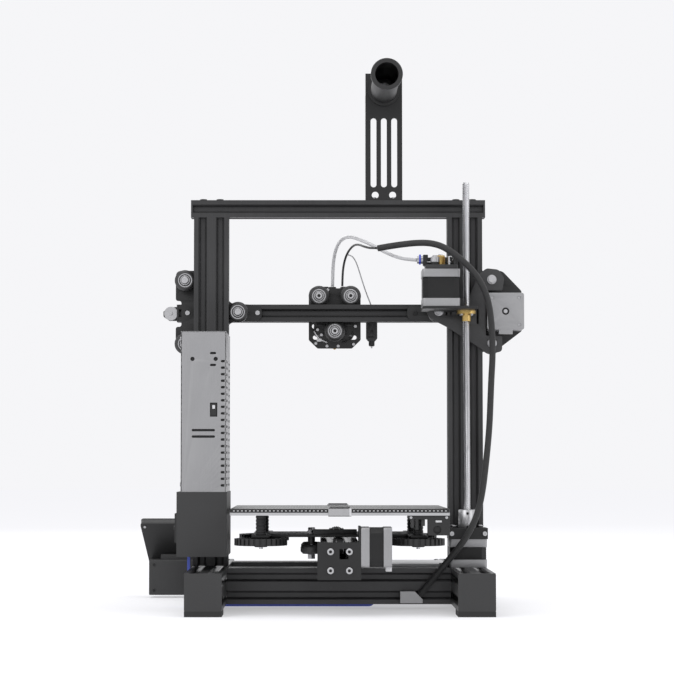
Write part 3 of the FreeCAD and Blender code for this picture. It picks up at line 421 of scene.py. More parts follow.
def softLight(name, place, size, power, target=(0, 0, 0.3)):
    data = bpy.data.lights.new(name, "AREA")
    data.shape = "RECTANGLE"
    data.size, data.size_y = size
    data.energy = power
    light = bpy.data.objects.new(name, data)
    light.location = place
    light.rotation_euler = (Vector(target) - Vector(place)).to_track_quat("-Z", "Y").to_euler()
    scene.collection.objects.link(light)


def makeStage():
    world = bpy.data.worlds.new("studio")
    world.use_nodes = True
    world.node_tree.nodes["Background"].inputs["Color"].default_value = colourOf(stageSetup["world"])
    world.node_tree.nodes["Background"].inputs["Strength"].default_value = 1.0
    scene.world = world
    reach = stageSetup["reach"]
    mesh = bpy.data.meshes.new("floor")
    corners = [(-reach, -reach, 0), (reach, -reach, 0), (reach, reach, 0), (-reach, reach, 0)]
    mesh.from_pydata(corners, [], [(0, 1, 2, 3)])
    floor = bpy.data.objects.new("floor", mesh)
    paint = bpy.data.materials.new("floorPaint")
    paint.use_nodes = True
    shader = paint.node_tree.nodes["Principled BSDF"]
    shader.inputs["Base Color"].default_value = colourOf(stageSetup["floor"])
    shader.inputs["Roughness"].default_value = 0.9
    shader.inputs["Specular IOR Level"].default_value = 0.0
    shader.inputs["Emission Color"].default_value = colourOf(stageSetup["lift"])
    shader.inputs["Emission Strength"].default_value = 1.0
    mesh.materials.append(paint)
    scene.collection.objects.link(floor)
    softLight("keyLight", (1.6, 2.2, 1.9), (1.6, 1.6), 18)
    softLight("fillLight", (-2.2, 1.6, 1.3), (1.4, 1.8), 10)
    softLight("topLight", (0, 0.2, 2.6), (2.2, 2.2), 14)
    softLight("frontLight", (0.6, -2.4, 1.6), (1.8, 1.4), 10)


makeStage()
print("stage: floor and light")


# pieces: each is gathered in one mesh, with a finish for each of its stretches
def startPiece(name):
    return {"name": name, "bm": bmesh.new(), "finishes": []}


def addMesh(piece, mesh, finish, place=None):
    if finish not in piece["finishes"]:
        piece["finishes"].append(finish)
    if place is not None:
        mesh.transform(place)
    index = piece["finishes"].index(finish)
    for polygon in mesh.polygons:
        polygon.material_index = index
    piece["bm"].from_mesh(mesh)
    bpy.data.meshes.remove(mesh)


def finishPiece(piece, body, nodes=(), sharp=32):
    mesh = bpy.data.meshes.new(piece["name"])
    piece["bm"].to_mesh(mesh)
    piece["bm"].free()
    for finish in piece["finishes"]:
        mesh.materials.append(materials[finish])
    mesh.polygons.foreach_set("use_smooth", [True] * len(mesh.polygons))
    mesh.set_sharp_from_angle(angle=math.radians(sharp))
    shown = bpy.data.objects.new(piece["name"], mesh)
    scene.collection.objects.link(shown)
    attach(shown, body)
    if nodes:
        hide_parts(*nodes)
    return shown


def closedMesh(bm, recalc=True):
    bmesh.ops.remove_doubles(bm, verts=bm.verts, dist=1e-6)
    if recalc:
        bmesh.ops.recalc_face_normals(bm, faces=bm.faces)
    mesh = bpy.data.meshes.new("part")
    bm.to_mesh(mesh)
    bm.free()
    return mesh


# block: between two corners, with softened edges; bevel in mm
def blockMesh(low, high, bevel=0.4, steps=2):
    low, high = Vector(low), Vector(high)
    bm = bmesh.new()
    bmesh.ops.create_cube(bm, size=1.0)
    size = high - low
    bmesh.ops.scale(bm, vec=size, verts=bm.verts)
    bmesh.ops.translate(bm, vec=(low + high) / 2, verts=bm.verts)
    width = min(bevel * mm, 0.45 * min(size))
    if width > 0:
        bmesh.ops.bevel(bm, geom=bm.edges, offset=width, segments=steps, profile=0.6, affect="EDGES")
    return closedMesh(bm)


def block(x0, x1, y0, y1, z0, z1, bevel=0.4, steps=2):
    return blockMesh(at(x0, y0, z0), at(x1, y1, z1), bevel, steps)


def latheMesh(profile, steps=40):  # turned: a closed outline of (radius, height) in mm about Z
    bm = bmesh.new()
    rings = []
    for radius, height in profile:
        if radius < 1e-6:
            rings.append([bm.verts.new((0, 0, height * mm))])
            continue
        angles = [math.tau * i / steps for i in range(steps)]
        rings.append([
            bm.verts.new(
                (radius * mm * math.cos(a), radius * mm * math.sin(a), height * mm)
            ) for a in angles
        ])
    for low, high in zip(rings, rings[1:] + rings[:1]):
        if len(low) == 1 and len(high) == 1:
            continue
        for i in range(steps):
            n = (i + 1) % steps
            corners = [low[i % len(low)], low[n % len(low)], high[n % len(high)], high[i % len(high)]]
            unique = list(dict.fromkeys(corners))
            bm.faces.new(unique)
    return closedMesh(bm)


def facing(direction, place):  # turn: takes Z to a direction, and the origin to a place
    turn = Vector(direction).to_track_quat("Z", "Y").to_matrix().to_4x4()
    return Matrix.Translation(place) @ turn


def disc(radius, low, high, edge=0.3):
    return [
        (0, low), (radius - edge, low), (radius, low + edge),
        (radius, high - edge), (radius - edge, high),
        (0, high)
    ]


def tubeWall(outer, inner, low, high, edge=0.3):
    return [
        (inner, low), (outer - edge, low), (outer, low + edge),
        (outer, high - edge), (outer - edge, high),
        (inner, high),
    ]


def roundHole(x, y, radius, steps=20):
    return [
        (
            x + radius * math.cos(math.tau * i / steps), y + radius * math.sin(math.tau * i / steps)
        ) for i in range(steps)
    ]


def slotHole(x, y, width, height, steps=8):  # slot: a long hole with round ends
    radius = min(width, height) / 2
    reach = max(width, height) / 2 - radius
    points = []
    for end in (1, -1):
        for i in range(steps + 1):
            turn = -math.pi / 2 + math.pi * i / steps
            along, across = end * (reach + radius * math.cos(turn)), end * radius * math.sin(turn)
            points.append((x + along, y + across) if width > height else (x - across, y + along))
    return points


# outline: corners in mm, each turned into an arc; radius may be one number or one for each
def roundedOutline(corners, radius, steps=5):
    radii = radius if isinstance(radius, (list, tuple)) else [radius] * len(corners)
    points = []
    for i, corner in enumerate(corners):
        here = Vector(corner)
        into = (Vector(corners[i - 1]) - here)
        out = (Vector(corners[(i + 1) % len(corners)]) - here)
        half = into.angle(out) / 2
        if radii[i] <= 0 or half > math.radians(89):
            points.append(tuple(here))
            continue
        reach = min(radii[i] / math.tan(half), 0.48 * into.length, 0.48 * out.length)
        start, end = here + into.normalized() * reach, here + out.normalized() * reach
        for k in range(steps + 1):
            t = k / steps
            points.append(tuple(start.lerp(here, t).lerp(here.lerp(end, t), t)))
    return points


# plate: a flat outline with holes, in mm, thick along Z from 0, with broken edges
def plateMesh(outline, holes, thickness, bevel=0.25):
    curve = bpy.data.curves.new("plate", "CURVE")
    curve.dimensions = "2D"
    curve.fill_mode = "BOTH"
    curve.extrude = (thickness / 2 - bevel) * mm
    curve.bevel_depth = bevel * mm
    curve.bevel_resolution = 1
    curve.offset = -bevel * mm
    for ring in [outline, *holes]:
        spline = curve.splines.new("POLY")
        spline.points.add(len(ring) - 1)
        for target, (u, v) in zip(spline.points, ring):
            target.co = (u * mm, v * mm, 0, 1)
        spline.use_cyclic_u = True
    holder = bpy.data.objects.new("plate", curve)
    mesh = bpy.data.meshes.new_from_object(holder)
    bpy.data.objects.remove(holder)
    bpy.data.curves.remove(curve)
    mesh.transform(Matrix.Translation((0, 0, thickness / 2 * mm)))
    bm = bmesh.new()
    bm.from_mesh(mesh)
    bpy.data.meshes.remove(mesh)
    return closedMesh(bm)


def standing(place):  # turn: a plate drawn in X and Z, thick towards +Y from the place
    return Matrix.Translation(place) @ Matrix(((1, 0, 0, 0), (0, 0, 1, 0), (0, 1, 0, 0), (0, 0, 0, 1)))


# wire: a round tube along a smooth line through the points, radius in mm
def wireMesh(points, radius, sides=10):
    line = smoothLine(points)
    return tubeAlong("wire", line, radius * mm, sides)


# Geometry Nodes for what repeats
def newTree(name, sockets):
    tree = bpy.data.node_groups.new(name, "GeometryNodeTree")
    tree.interface.new_socket("Geometry", in_out="INPUT", socket_type="NodeSocketGeometry")
    for label, kind, value in sockets:
        socket = tree.interface.new_socket(label, in_out="INPUT", socket_type="NodeSocket" + kind)
        if value is not None:
            socket.default_value = value
    tree.interface.new_socket("Geometry", in_out="OUTPUT", socket_type="NodeSocketGeometry")
    return tree, tree.nodes.new("NodeGroupInput"), tree.nodes.new("NodeGroupOutput")


def closeTree(tree, entry, leave, source):
    real = tree.nodes.new("GeometryNodeRealizeInstances")
    paint = tree.nodes.new("GeometryNodeSetMaterial")
    tree.links.new(source, real.inputs["Geometry"])
    tree.links.new(real.outputs["Geometry"], paint.inputs["Geometry"])
    tree.links.new(entry.outputs["Material"], paint.inputs["Material"])
    tree.links.new(paint.outputs["Geometry"], leave.inputs["Geometry"])


def screwTree():  # screws: a socket-head screw on every point, head towards Facing
    tree, entry, leave = newTree("screws", [
        ("Head Radius", "Float", 2.75 * mm), ("Head Height", "Float", 2.0 * mm), (
            "Socket Radius", "Float", 1.5 * mm
        ),
        ("Facing", "Vector", (0, 1, 0)), ("Material", "Material", None),
    ])
    new, link = tree.nodes.new, tree.links.new
    head = new("GeometryNodeMeshCylinder")
    head.inputs["Vertices"].default_value = 28
    link(entry.outputs["Head Radius"], head.inputs["Radius"])
    link(entry.outputs["Head Height"], head.inputs["Depth"])
    rim = new("GeometryNodeMeshCone")
    rim.inputs["Vertices"].default_value = 28
    smaller = new("ShaderNodeMath")
    smaller.operation = "MULTIPLY"
    smaller.inputs[1].default_value = 0.86
    link(entry.outputs["Head Radius"], smaller.inputs[0])
    link(smaller.outputs[0], rim.inputs["Radius Top"])
    link(entry.outputs["Head Radius"], rim.inputs["Radius Bottom"])
    chamfer = new("ShaderNodeMath")
    chamfer.operation = "MULTIPLY"
    chamfer.inputs[1].default_value = 0.22
    link(entry.outputs["Head Height"], chamfer.inputs[0])
    link(chamfer.outputs[0], rim.inputs["Depth"])
    up = new("ShaderNodeCombineXYZ")
    half = new("ShaderNodeMath")
    half.operation = "MULTIPLY"
    half.inputs[1].default_value = 0.499
    link(entry.outputs["Head Height"], half.inputs[0])
    link(half.outputs[0], up.inputs["Z"])
    lift = new("GeometryNodeTransform")
    link(rim.outputs["Mesh"], lift.inputs["Geometry"])
    link(up.outputs["Vector"], lift.inputs["Translation"])
    body = new("GeometryNodeMeshBoolean")
    body.operation = "UNION"
    link(head.outputs["Mesh"], body.inputs["Mesh"])
    link(lift.outputs["Geometry"], body.inputs["Mesh"])
    key = new("GeometryNodeMeshCylinder")
    key.inputs["Vertices"].default_value = 6
    link(entry.outputs["Socket Radius"], key.inputs["Radius"])
    link(entry.outputs["Head Height"], key.inputs["Depth"])
    deep = new("GeometryNodeTransform")
    raised = new("ShaderNodeVectorMath")
    raised.operation = "SCALE"
    raised.inputs["Scale"].default_value = 1.5
    link(up.outputs["Vector"], raised.inputs[0])
    link(key.outputs["Mesh"], deep.inputs["Geometry"])
    link(raised.outputs["Vector"], deep.inputs["Translation"])
    cut = new("GeometryNodeMeshBoolean")
    cut.operation = "DIFFERENCE"
    link(body.outputs["Mesh"], cut.inputs["Mesh 1"])
    link(deep.outputs["Geometry"], cut.inputs["Mesh 2"])
    seat = new("GeometryNodeTransform")
    link(cut.outputs["Mesh"], seat.inputs["Geometry"])
    link(up.outputs["Vector"], seat.inputs["Translation"])
    turn = new("FunctionNodeAlignRotationToVector")
    turn.axis = "Z"
    link(entry.outputs["Facing"], turn.inputs["Vector"])
    onPoints = new("GeometryNodeInstanceOnPoints")
    link(entry.outputs["Geometry"], onPoints.inputs["Points"])
    link(seat.outputs["Geometry"], onPoints.inputs["Instance"])
    link(turn.outputs["Rotation"], onPoints.inputs["Rotation"])
    closeTree(tree, entry, leave, onPoints.outputs["Instances"])
    return tree


def roundTree():  # ridges: blocks all round a circle about Z, each one's long side towards the middle
    tree, entry, leave = newTree("ridgesRound", [
        ("Count", "Int", 40), ("Radius", "Float", 10 * mm),
        ("Size", "Vector", (1 * mm, 1 * mm, 5 * mm)),
        ("Lean", "Float", 0.0), ("Material", "Material", None),
    ])
    new, link = tree.nodes.new, tree.links.new
    circle = new("GeometryNodeMeshCircle")
    link(entry.outputs["Count"], circle.inputs["Vertices"])
    link(entry.outputs["Radius"], circle.inputs["Radius"])
    ridge = new("GeometryNodeMeshCube")
    link(entry.outputs["Size"], ridge.inputs["Size"])
    leaned = new("GeometryNodeTransform")
    lean = new("ShaderNodeCombineXYZ")
    link(entry.outputs["Lean"], lean.inputs["X"])
    turnIn = new("FunctionNodeEulerToRotation")
    link(lean.outputs["Vector"], turnIn.inputs["Euler"])
    link(ridge.outputs["Mesh"], leaned.inputs["Geometry"])
    link(turnIn.outputs["Rotation"], leaned.inputs["Rotation"])
    place = new("GeometryNodeInputPosition")
    turn = new("FunctionNodeAlignRotationToVector")
    turn.axis = "X"
    turn.pivot_axis = "Z"
    link(place.outputs["Position"], turn.inputs["Vector"])
    onPoints = new("GeometryNodeInstanceOnPoints")
    link(circle.outputs["Mesh"], onPoints.inputs["Points"])
    link(leaned.outputs["Geometry"], onPoints.inputs["Instance"])
    link(turn.outputs["Rotation"], onPoints.inputs["Rotation"])
    closeTree(tree, entry, leave, onPoints.outputs["Instances"])
    return tree


def stackTree():  # stack: copies of the given sheet, one after another along Step
    tree, entry, leave = newTree("stack", [
        ("Count", "Int", 20), ("Step", "Vector", (0, 0, 1 * mm)), ("Material", "Material", None),
    ])
    new, link = tree.nodes.new, tree.links.new
    row = new("GeometryNodeMeshLine")
    link(entry.outputs["Count"], row.inputs["Count"])
    link(entry.outputs["Step"], row.inputs["Offset"])
    onPoints = new("GeometryNodeInstanceOnPoints")
    link(row.outputs["Mesh"], onPoints.inputs["Points"])
    link(entry.outputs["Geometry"], onPoints.inputs["Instance"])
    closeTree(tree, entry, leave, onPoints.outputs["Instances"])
    return tree


def pathTree():  # teeth: blocks along a path at one pitch, turned with it
    tree, entry, leave = newTree("teethAlong", [
        ("Pitch", "Float", 2 * mm), (
            "Size", "Vector", (1 * mm, 6 * mm, 0.7 * mm)
        ), ("Across", "Vector", (0, 1, 0)),
        ("Material", "Material", None),
    ])
    new, link = tree.nodes.new, tree.links.new
    curve = new("GeometryNodeMeshToCurve")
    link(entry.outputs["Geometry"], curve.inputs["Mesh"])
    points = new("GeometryNodeCurveToPoints")
    points.mode = "LENGTH"
    link(curve.outputs["Curve"], points.inputs["Curve"])
    link(entry.outputs["Pitch"], points.inputs["Length"])
    tooth = new("GeometryNodeMeshCube")
    link(entry.outputs["Size"], tooth.inputs["Size"])
    first = new("FunctionNodeAlignRotationToVector")
    first.axis = "Y"
    link(entry.outputs["Across"], first.inputs["Vector"])
    turn = new("FunctionNodeAlignRotationToVector")
    turn.axis = "X"
    turn.pivot_axis = "Y"
    link(first.outputs["Rotation"], turn.inputs["Rotation"])
    link(points.outputs["Tangent"], turn.inputs["Vector"])
    onPoints = new("GeometryNodeInstanceOnPoints")
    link(points.outputs["Points"], onPoints.inputs["Points"])
    link(tooth.outputs["Mesh"], onPoints.inputs["Instance"])
    link(turn.outputs["Rotation"], onPoints.inputs["Rotation"])
    closeTree(tree, entry, leave, onPoints.outputs["Instances"])
    return tree


trees = {"screws": screwTree(), "round": roundTree(), "stack": stackTree(), "path": pathTree()}


def runTree(name, mesh, finish, values):  # mesh: what the tree makes of it, with nothing left live
    tree = trees[name]
    sockets = {item.name: item.identifier for item in tree.interface.items_tree if item.in_out == "INPUT"}
    holder = bpy.data.objects.new("holder", mesh)
    scene.collection.objects.link(holder)
    nodes = holder.modifiers.new("nodes", "NODES")
    nodes.node_group = tree
    for label, value in {**values, "Material": materials[finish]}.items():
        nodes[sockets[label]] = value
    seen = holder.evaluated_get(bpy.context.evaluated_depsgraph_get())
    made = bpy.data.meshes.new_from_object(seen)
    bpy.data.objects.remove(holder)
    bpy.data.meshes.remove(mesh)
    return made


def pointsMesh(points, edges=()):
    mesh = bpy.data.meshes.new("points")
    mesh.from_pydata([tuple(point) for point in points], list(edges), [])
    return mesh


def addScrews(piece, points, direction, radius=2.75, height=2.0, socket=1.45, finish="zincPlate"):
    values = {
        "Head Radius": radius * mm, "Head Height": height * mm, "Socket Radius": socket * mm,
        "Facing": tuple(direction),
    }
    addMesh(piece, runTree("screws", pointsMesh(points), finish, values), finish)


def addRidges(piece, finish, count, radius, size, place, lean=0.0):
    values = {
        "Count": count, "Radius": radius * mm, "Size": tuple(
            side * mm for side in size
        ), "Lean": math.radians(lean),
    }
    addMesh(piece, runTree("round", pointsMesh([(0, 0, 0)]), finish, values), finish, place)


def addStack(piece, sheet, finish, count, step, place):
    made = runTree("stack", sheet, finish, {"Count": count, "Step": tuple(part * mm for part in step)})
    addMesh(piece, made, finish, place)


def hexMesh(across, height, dome=0.6):  # hexagon: a nut or a bolt head, with its corners turned off
    bm = bmesh.new()
    bmesh.ops.create_cone(
        bm, cap_ends=True, segments=6,
        radius1=across / math.sqrt(3) * mm, radius2=across / math.sqrt(3) * mm,
        depth=height * mm,
    )
    rim = [edge for edge in bm.edges if all(vertex.co.z > 0 for vertex in edge.verts)]
    bmesh.ops.bevel(bm, geom=rim, offset=dome * mm, segments=1, affect="EDGES")
    bmesh.ops.translate(bm, vec=(0, 0, height / 2 * mm), verts=bm.verts)
    return closedMesh(bm)


print("stage: tools")


# stepper motors
motorSetup = {"side": 42.3, "cap": 9.0, "corner": 3.2, "cut": 5.5, "sheet": 0.5, "boss": 11.0}
motors = {
    "z_motor": {
        "body": "frame", "turn": Matrix.Rotation(math.radians(90), 4, "Z"), "place": (-145.5, 33, 78),
        "long": 32, "plug": "blackPlastic"
    },
    "y_motor": {
        "body": "frame", "turn": Matrix.Rotation(math.radians(120), 4, Vector((1, 1, 1))),
        "place": (-22.5, 172, 73.65), "long": 33, "plug": "palePlug"
    },
    "x_motor": {
        "body": "gantry",
        "turn": Matrix.Rotation(math.radians(90), 4, "X"), "place": (-191.3, -13, 336.5),
        "long": 33, "plug": "castCap"
    },
    "extruder_motor": {
        "body": "gantry",
        "turn": Matrix.Rotation(math.radians(-90), 4, "Z"), "place": (-115.2, 50, 381),
        "long": 42, "plug": "blackPlastic"
    },
}


def makeMotor(node, setup):
    half, cap, long = motorSetup["side"] / 2, motorSetup["cap"], setup["long"]
    piece = startPiece("shown_" + node)
    square = [(-half, -half), (half, -half), (half, half), (-half, half)]
    bore = [roundHole(0, 0, 4.2)]
    counterbores = [roundHole(x, y, 1.7, 14) for x in (-15.5, 15.5) for y in (-15.5, 15.5)]
    for low in (-cap, -long):
        holes = counterbores if low == -cap else bore + counterbores
        mesh = plateMesh(roundedOutline(square, motorSetup["corner"]), holes, cap, 0.35)
        addMesh(piece, mesh, "castCap", Matrix.Translation((0, 0, low * mm)))
    inset, cut = half - 0.5, motorSetup["cut"]
    octagon = [
        (inset, cut - inset), (inset, inset - cut), (inset - cut, inset), (cut - inset, inset),
        (-inset, inset - cut), (-inset, cut - inset), (cut - inset, -inset), (inset - cut, -inset),
    ]
    core = [(x * 0.985, y * 0.985) for x, y in octagon]
    depth = long - 2 * cap
    addMesh(
        piece, plateMesh(core, [], depth, 0.05), "stator", Matrix.Translation((0, 0, (cap - long) * mm))
    )
    pitch = 2 * motorSetup["sheet"]
    count = int(depth / pitch)
    sheet = plateMesh(octagon, [], motorSetup["sheet"], 0.05)
    start = cap - long + (depth - (count - 1) * pitch - motorSetup["sheet"]) / 2
    addStack(piece, sheet, "stator", count, (0, 0, pitch), Matrix.Translation((0, 0, start * mm)))
    addMesh(piece, latheMesh(disc(motorSetup["boss"], -0.5, 2.0)), "castCap")
    rear = Matrix.Translation((0, 0, (-long + 1.2) * mm)) @ Matrix.Rotation(math.pi, 4, "X")
    addMesh(piece, latheMesh(tubeWall(4.15, 2.7, -0.8, 0.5)), "stator", rear)
    addMesh(piece, latheMesh(disc(2.4, -0.5, 0.9)), "zincPlate", rear)
    spots = [(x * mm, y * mm, (-long + 2.2) * mm) for x in (-15.5, 15.5) for y in (-15.5, 15.5)]
    addScrews(piece, spots, (0, 0, -1), 1.6, 1.7, 0.9)
    plugLow = -long
    housing = blockMesh(
        (-8 * mm, (-half - 5) * mm, plugLow * mm), (8 * mm, (-half + 1) * mm, (plugLow + 6.5) * mm), 0.5
    )
    addMesh(piece, housing, setup["plug"])
    for i in range(6):
        x = (-6.25 + 2.5 * i) * mm
        pin = blockMesh(
            (x - 0.35 * mm, (-half - 5.05) * mm, (plugLow + 2) * mm),
            (x + 0.35 * mm, (-half - 4.5) * mm, (plugLow + 4.5) * mm), 0.05, 1,
        )
        addMesh(piece, pin, "brass")
    place = Matrix.Translation(at(*setup["place"])) @ setup["turn"]
    bmesh.ops.transform(piece["bm"], matrix=place, verts=piece["bm"].verts)
    finishPiece(piece, setup["body"], [node])


for node, setup in motors.items():
    makeMotor(node, setup)
print("stage: motors")


# rollers
rollerSetup = {"bore": 2.56, "bearing": 8.0, "shoulder": 9.6, "tread": 12.0, "half": 5.1, "flat": 2.4}


def makeRoller(joint):
    r = rollerSetup
    piece = startPiece("shown_" + joint["child"])
    half, flat, soft = r["half"], r["flat"], 0.35
    tyre = [
        (r["bearing"], -half + 0.5), (r["bearing"], -half), (r["shoulder"] - soft, -half),
        (r["shoulder"], -half + soft * 0.6), (
            r["tread"] - soft * 0.7, -flat - soft * 0.5
        ), (r["tread"], -flat + soft),
        (r["tread"], flat - soft), (
            r["tread"] - soft * 0.7, flat + soft * 0.5
        ), (r["shoulder"], half - soft * 0.6),
        (r["shoulder"] - soft, half), (r["bearing"], half), (r["bearing"], half - 0.5),
    ]
    bearing = [
        (r["bore"], -half + 0.1), (3.6, -half + 0.1), (3.8, -half + 0.5),
        (6.9, -half + 0.5), (7.1, -half + 0.1),
        (r["bearing"], -half + 0.1), (r["bearing"], half - 0.1), (7.1, half - 0.1), (6.9, half - 0.5),
        (3.8, half - 0.5), (3.6, half - 0.1), (r["bore"], half - 0.1),
    ]
    place = facing(joint["axis"], joint["pos_m"])
    addMesh(piece, latheMesh(tyre, 56), "tyreResin", place)
    addMesh(piece, latheMesh(bearing, 56), "zincPlate", place)
    finishPiece(piece, joint["child"], [joint["child"]])


rollers = [joint for joint in frame["joints"] if "wheel" in joint["child"]]
for joint in rollers:
    makeRoller(joint)
print("stage: rollers", len(rollers))


# lead screw: a four-start thread, its shaft and the coupler
threadSetup = {"radius": 4.0, "root": 3.15, "lead": 8.0, "starts": 4, "step": 0.5, "sides": 24}


def makeLeadScrew():
    t = threadSetup
    low, high = 99.0, 482.4
    bm = bmesh.new()
    rings = []
    count = int((high - low) / t["step"]) + 1
    for i in range(count):
        z = low + (high - low) * i / (count - 1)
        ring = []
        for k in range(t["sides"]):
            turn = math.tau * k / t["sides"]
            phase = (z / t["lead"] - turn / math.tau) * t["starts"]
            crest = 0.5 + 0.5 * math.cos(math.tau * phase)
            crest = min(1.0, max(0.0, 1.6 * crest - 0.3))
            edge = min(1.0, (i + 0.5) / 4, (count - i - 0.5) / 4)
            radius = (t["root"] + (t["radius"] - t["root"]) * crest * edge) * mm
            ring.append(bm.verts.new((radius * math.cos(turn), radius * math.sin(turn), z * mm)))
        rings.append(ring)
    for a, b in zip(rings, rings[1:]):
        for k in range(t["sides"]):
            n = (k + 1) % t["sides"]
            bm.faces.new((a[k], a[n], b[n], b[k]))
    bm.faces.new(list(reversed(rings[0])))
    bm.faces.new(rings[-1])
    piece = startPiece("shown_lead_screw")
    middle = middleOf("lead_screw")
    place = Matrix.Translation((middle.x, middle.y, 0))
    addMesh(piece, closedMesh(bm), "brightSteel", place)
    addMesh(piece, latheMesh(disc(2.5, 80.3, 100)), "brightSteel", place)
    coupler = [
        (4.05, 87.2), (9.3, 87.2), (9.9, 87.8), (9.9, 97.0), (9.5, 97.2), (9.5, 97.9), (9.9, 98.1),
        (9.9, 110.1), (9.3, 110.7), (4.05, 110.7),
    ]
    addMesh(piece, latheMesh(coupler, 48), "milledAlloy", place)
    spots = [Vector((middle.x, middle.y + 9.2 * mm, z * mm)) for z in (91.5, 106.5)]
    addScrews(piece, spots, (0, 1, 0), 1.5, 1.0, 0.8, "stator")
    finishPiece(piece, "lead_screw", ["lead_screw"], 50)


makeLeadScrew()
print("stage: lead screw")


# pulleys and belts
pulleySetup = {"core": 5.6, "flange": 8.0, "wide": 8.6, "rim": 1.0, "teeth": 20}
pulleys = {
    "y_pulley": {"axis": xAxis, "shaft": (-20.0, 7.0), "teeth": True},
    "y_idler": {"axis": xAxis, "shaft": None, "teeth": False},
    "x_pulley": {"axis": yAxis, "shaft": (-5.0, 10.6), "teeth": True},
    "x_idler": {"axis": yAxis, "shaft": None, "teeth": False},
}


def makePulley(joint, setup):
    p = pulleySetup
    piece = startPiece("shown_" + joint["child"])
    place = facing(setup["axis"], joint["pos_m"])
    half = p["wide"] / 2
    bore = 2.05 if setup["shaft"] is None else 2.4
    spool = [
        (bore, -half), (p["flange"] - 0.2, -half), (p["flange"], -half + 0.2), (
            p["flange"], -half + p["rim"] - 0.2
        ),
        (p["core"], -half + p["rim"]), (p["core"], half - p["rim"]),
        (p["flange"], half - p["rim"] + 0.2),
        (p["flange"], half - 0.2), (p["flange"] - 0.2, half), (bore, half),
    ]
    addMesh(piece, latheMesh(spool, 48), "milledAlloy", place)
    if setup["teeth"]:
        addRidges(
            piece, "milledAlloy", p["teeth"], p["core"] - 0.1, (0.9, 0.85, p["wide"] - 2 * p["rim"]), place
        )
    if setup["shaft"]:
        addMesh(piece, latheMesh(disc(2.5, *setup["shaft"])), "brightSteel", place)
    finishPiece(piece, joint["child"], [joint["child"]])


for joint in frame["joints"]:
    if joint["child"] in pulleys:
        makePulley(joint, pulleys[joint["child"]])

beltSetup = {"inner": 6.9, "thick": 0.7, "wide": 6.0, "pitch": 2.0, "tooth": (1.0, 5.9, 0.7), "bend": 20}


def beltLoop(first, last, up, radius):  # loop: round two centres, in the plane of their line and up
    way = (last - first).normalized()
    points = []
    for centre, sign in ((last, 1), (first, -1)):
        for i in range(beltSetup["bend"] + 1):
            turn = math.pi / 2 - math.pi * i / beltSetup["bend"]
            points.append(centre + sign * radius * mm * (math.cos(turn) * way + math.sin(turn) * up))
    return points


def makeBelt(node, body, first, last):
    across = yAxis if abs((last - first).x) > abs((last - first).y) else xAxis
    inner = beltLoop(first, last, zAxis, beltSetup["inner"])
    outer = beltLoop(first, last, zAxis, beltSetup["inner"] + beltSetup["thick"])
    side = across * beltSetup["wide"] / 2 * mm
    bm = bmesh.new()
    rows = [[bm.verts.new(point + offset) for point in loop] for loop, offset in (
        (inner, -side), (outer, -side), (outer, side), (inner, side))]
    count = len(inner)
    for a, b in zip(rows, rows[1:] + rows[:1]):
        for i in range(count):
            n = (i + 1) % count
            bm.faces.new((a[i], a[n], b[n], b[i]))
    piece = startPiece("shown_" + node)
    addMesh(piece, closedMesh(bm), "beltRubber")
    path = beltLoop(first, last, zAxis, beltSetup["inner"] - 0.33)
    edges = [(i, (i + 1) % len(path)) for i in range(len(path))]
    size = tuple(part * mm for part in beltSetup["tooth"])
    values = {"Pitch": beltSetup["pitch"] * mm, "Size": size, "Across": tuple(across)}
    addMesh(piece, runTree("path", pointsMesh(path, edges), "beltRubber", values), "beltRubber")
    finishPiece(piece, body, [node])


makeBelt(
    "y_belt", "frame", middleOf("y_idler"), Vector((railMiddle, at(0, 172, 0).y, middleOf("y_idler").z))
)
makeBelt("x_belt", "gantry", at(-191.3, -26, 336.5), middleOf("x_idler"))
print("stage: pulleys and belts")


# plates drawn upright (X and Z), on their side (Y and Z) or flat (X and Y), all in design mm
here = Matrix.Translation(at(0, 0, 0))


def uprightPlate(outline, holes, y, thickness, corner=2.0, bevel=0.25):
    mesh = plateMesh(roundedOutline(outline, corner), holes, thickness, bevel)
    mesh.transform(standing((0, y * mm, 0)))
    mesh.flip_normals()
    return mesh


ontoSide = Matrix(((0, 0, 1, 0), (1, 0, 0, 0), (0, 1, 0, 0), (0, 0, 0, 1)))  # turns a flat plate to face X


def sidePlate(outline, holes, x, thickness, corner=1.0, bevel=0.25):
    mesh = plateMesh(roundedOutline(outline, corner), holes, thickness, bevel)
    mesh.transform(Matrix.Translation((x * mm, 0, 0)) @ ontoSide)
    return mesh


def flatPlate(outline, holes, z, thickness, corner=2.0, bevel=0.25):
    mesh = plateMesh(roundedOutline(outline, corner), holes, thickness, bevel)
    mesh.transform(Matrix.Translation((0, 0, z * mm)))
    return mesh


def oblong(x0, x1, y0, y1):
    return [(x0, y0), (x1, y0), (x1, y1), (x0, y1)]


def turnedAt(piece, finish, profile, direction, place, steps=36):
    addMesh(piece, latheMesh(profile, steps), finish, facing(direction, place))


# power supply: folded sheet with vents, over a near-black inner block that paints the shade inside the case
supplySetup = {
    "sheet": 1.4, "vents": 20, "ventPitch": 7.15, "ventLow": 138.8, "ventHigh": 2.6, "ventLong": 34.0
}


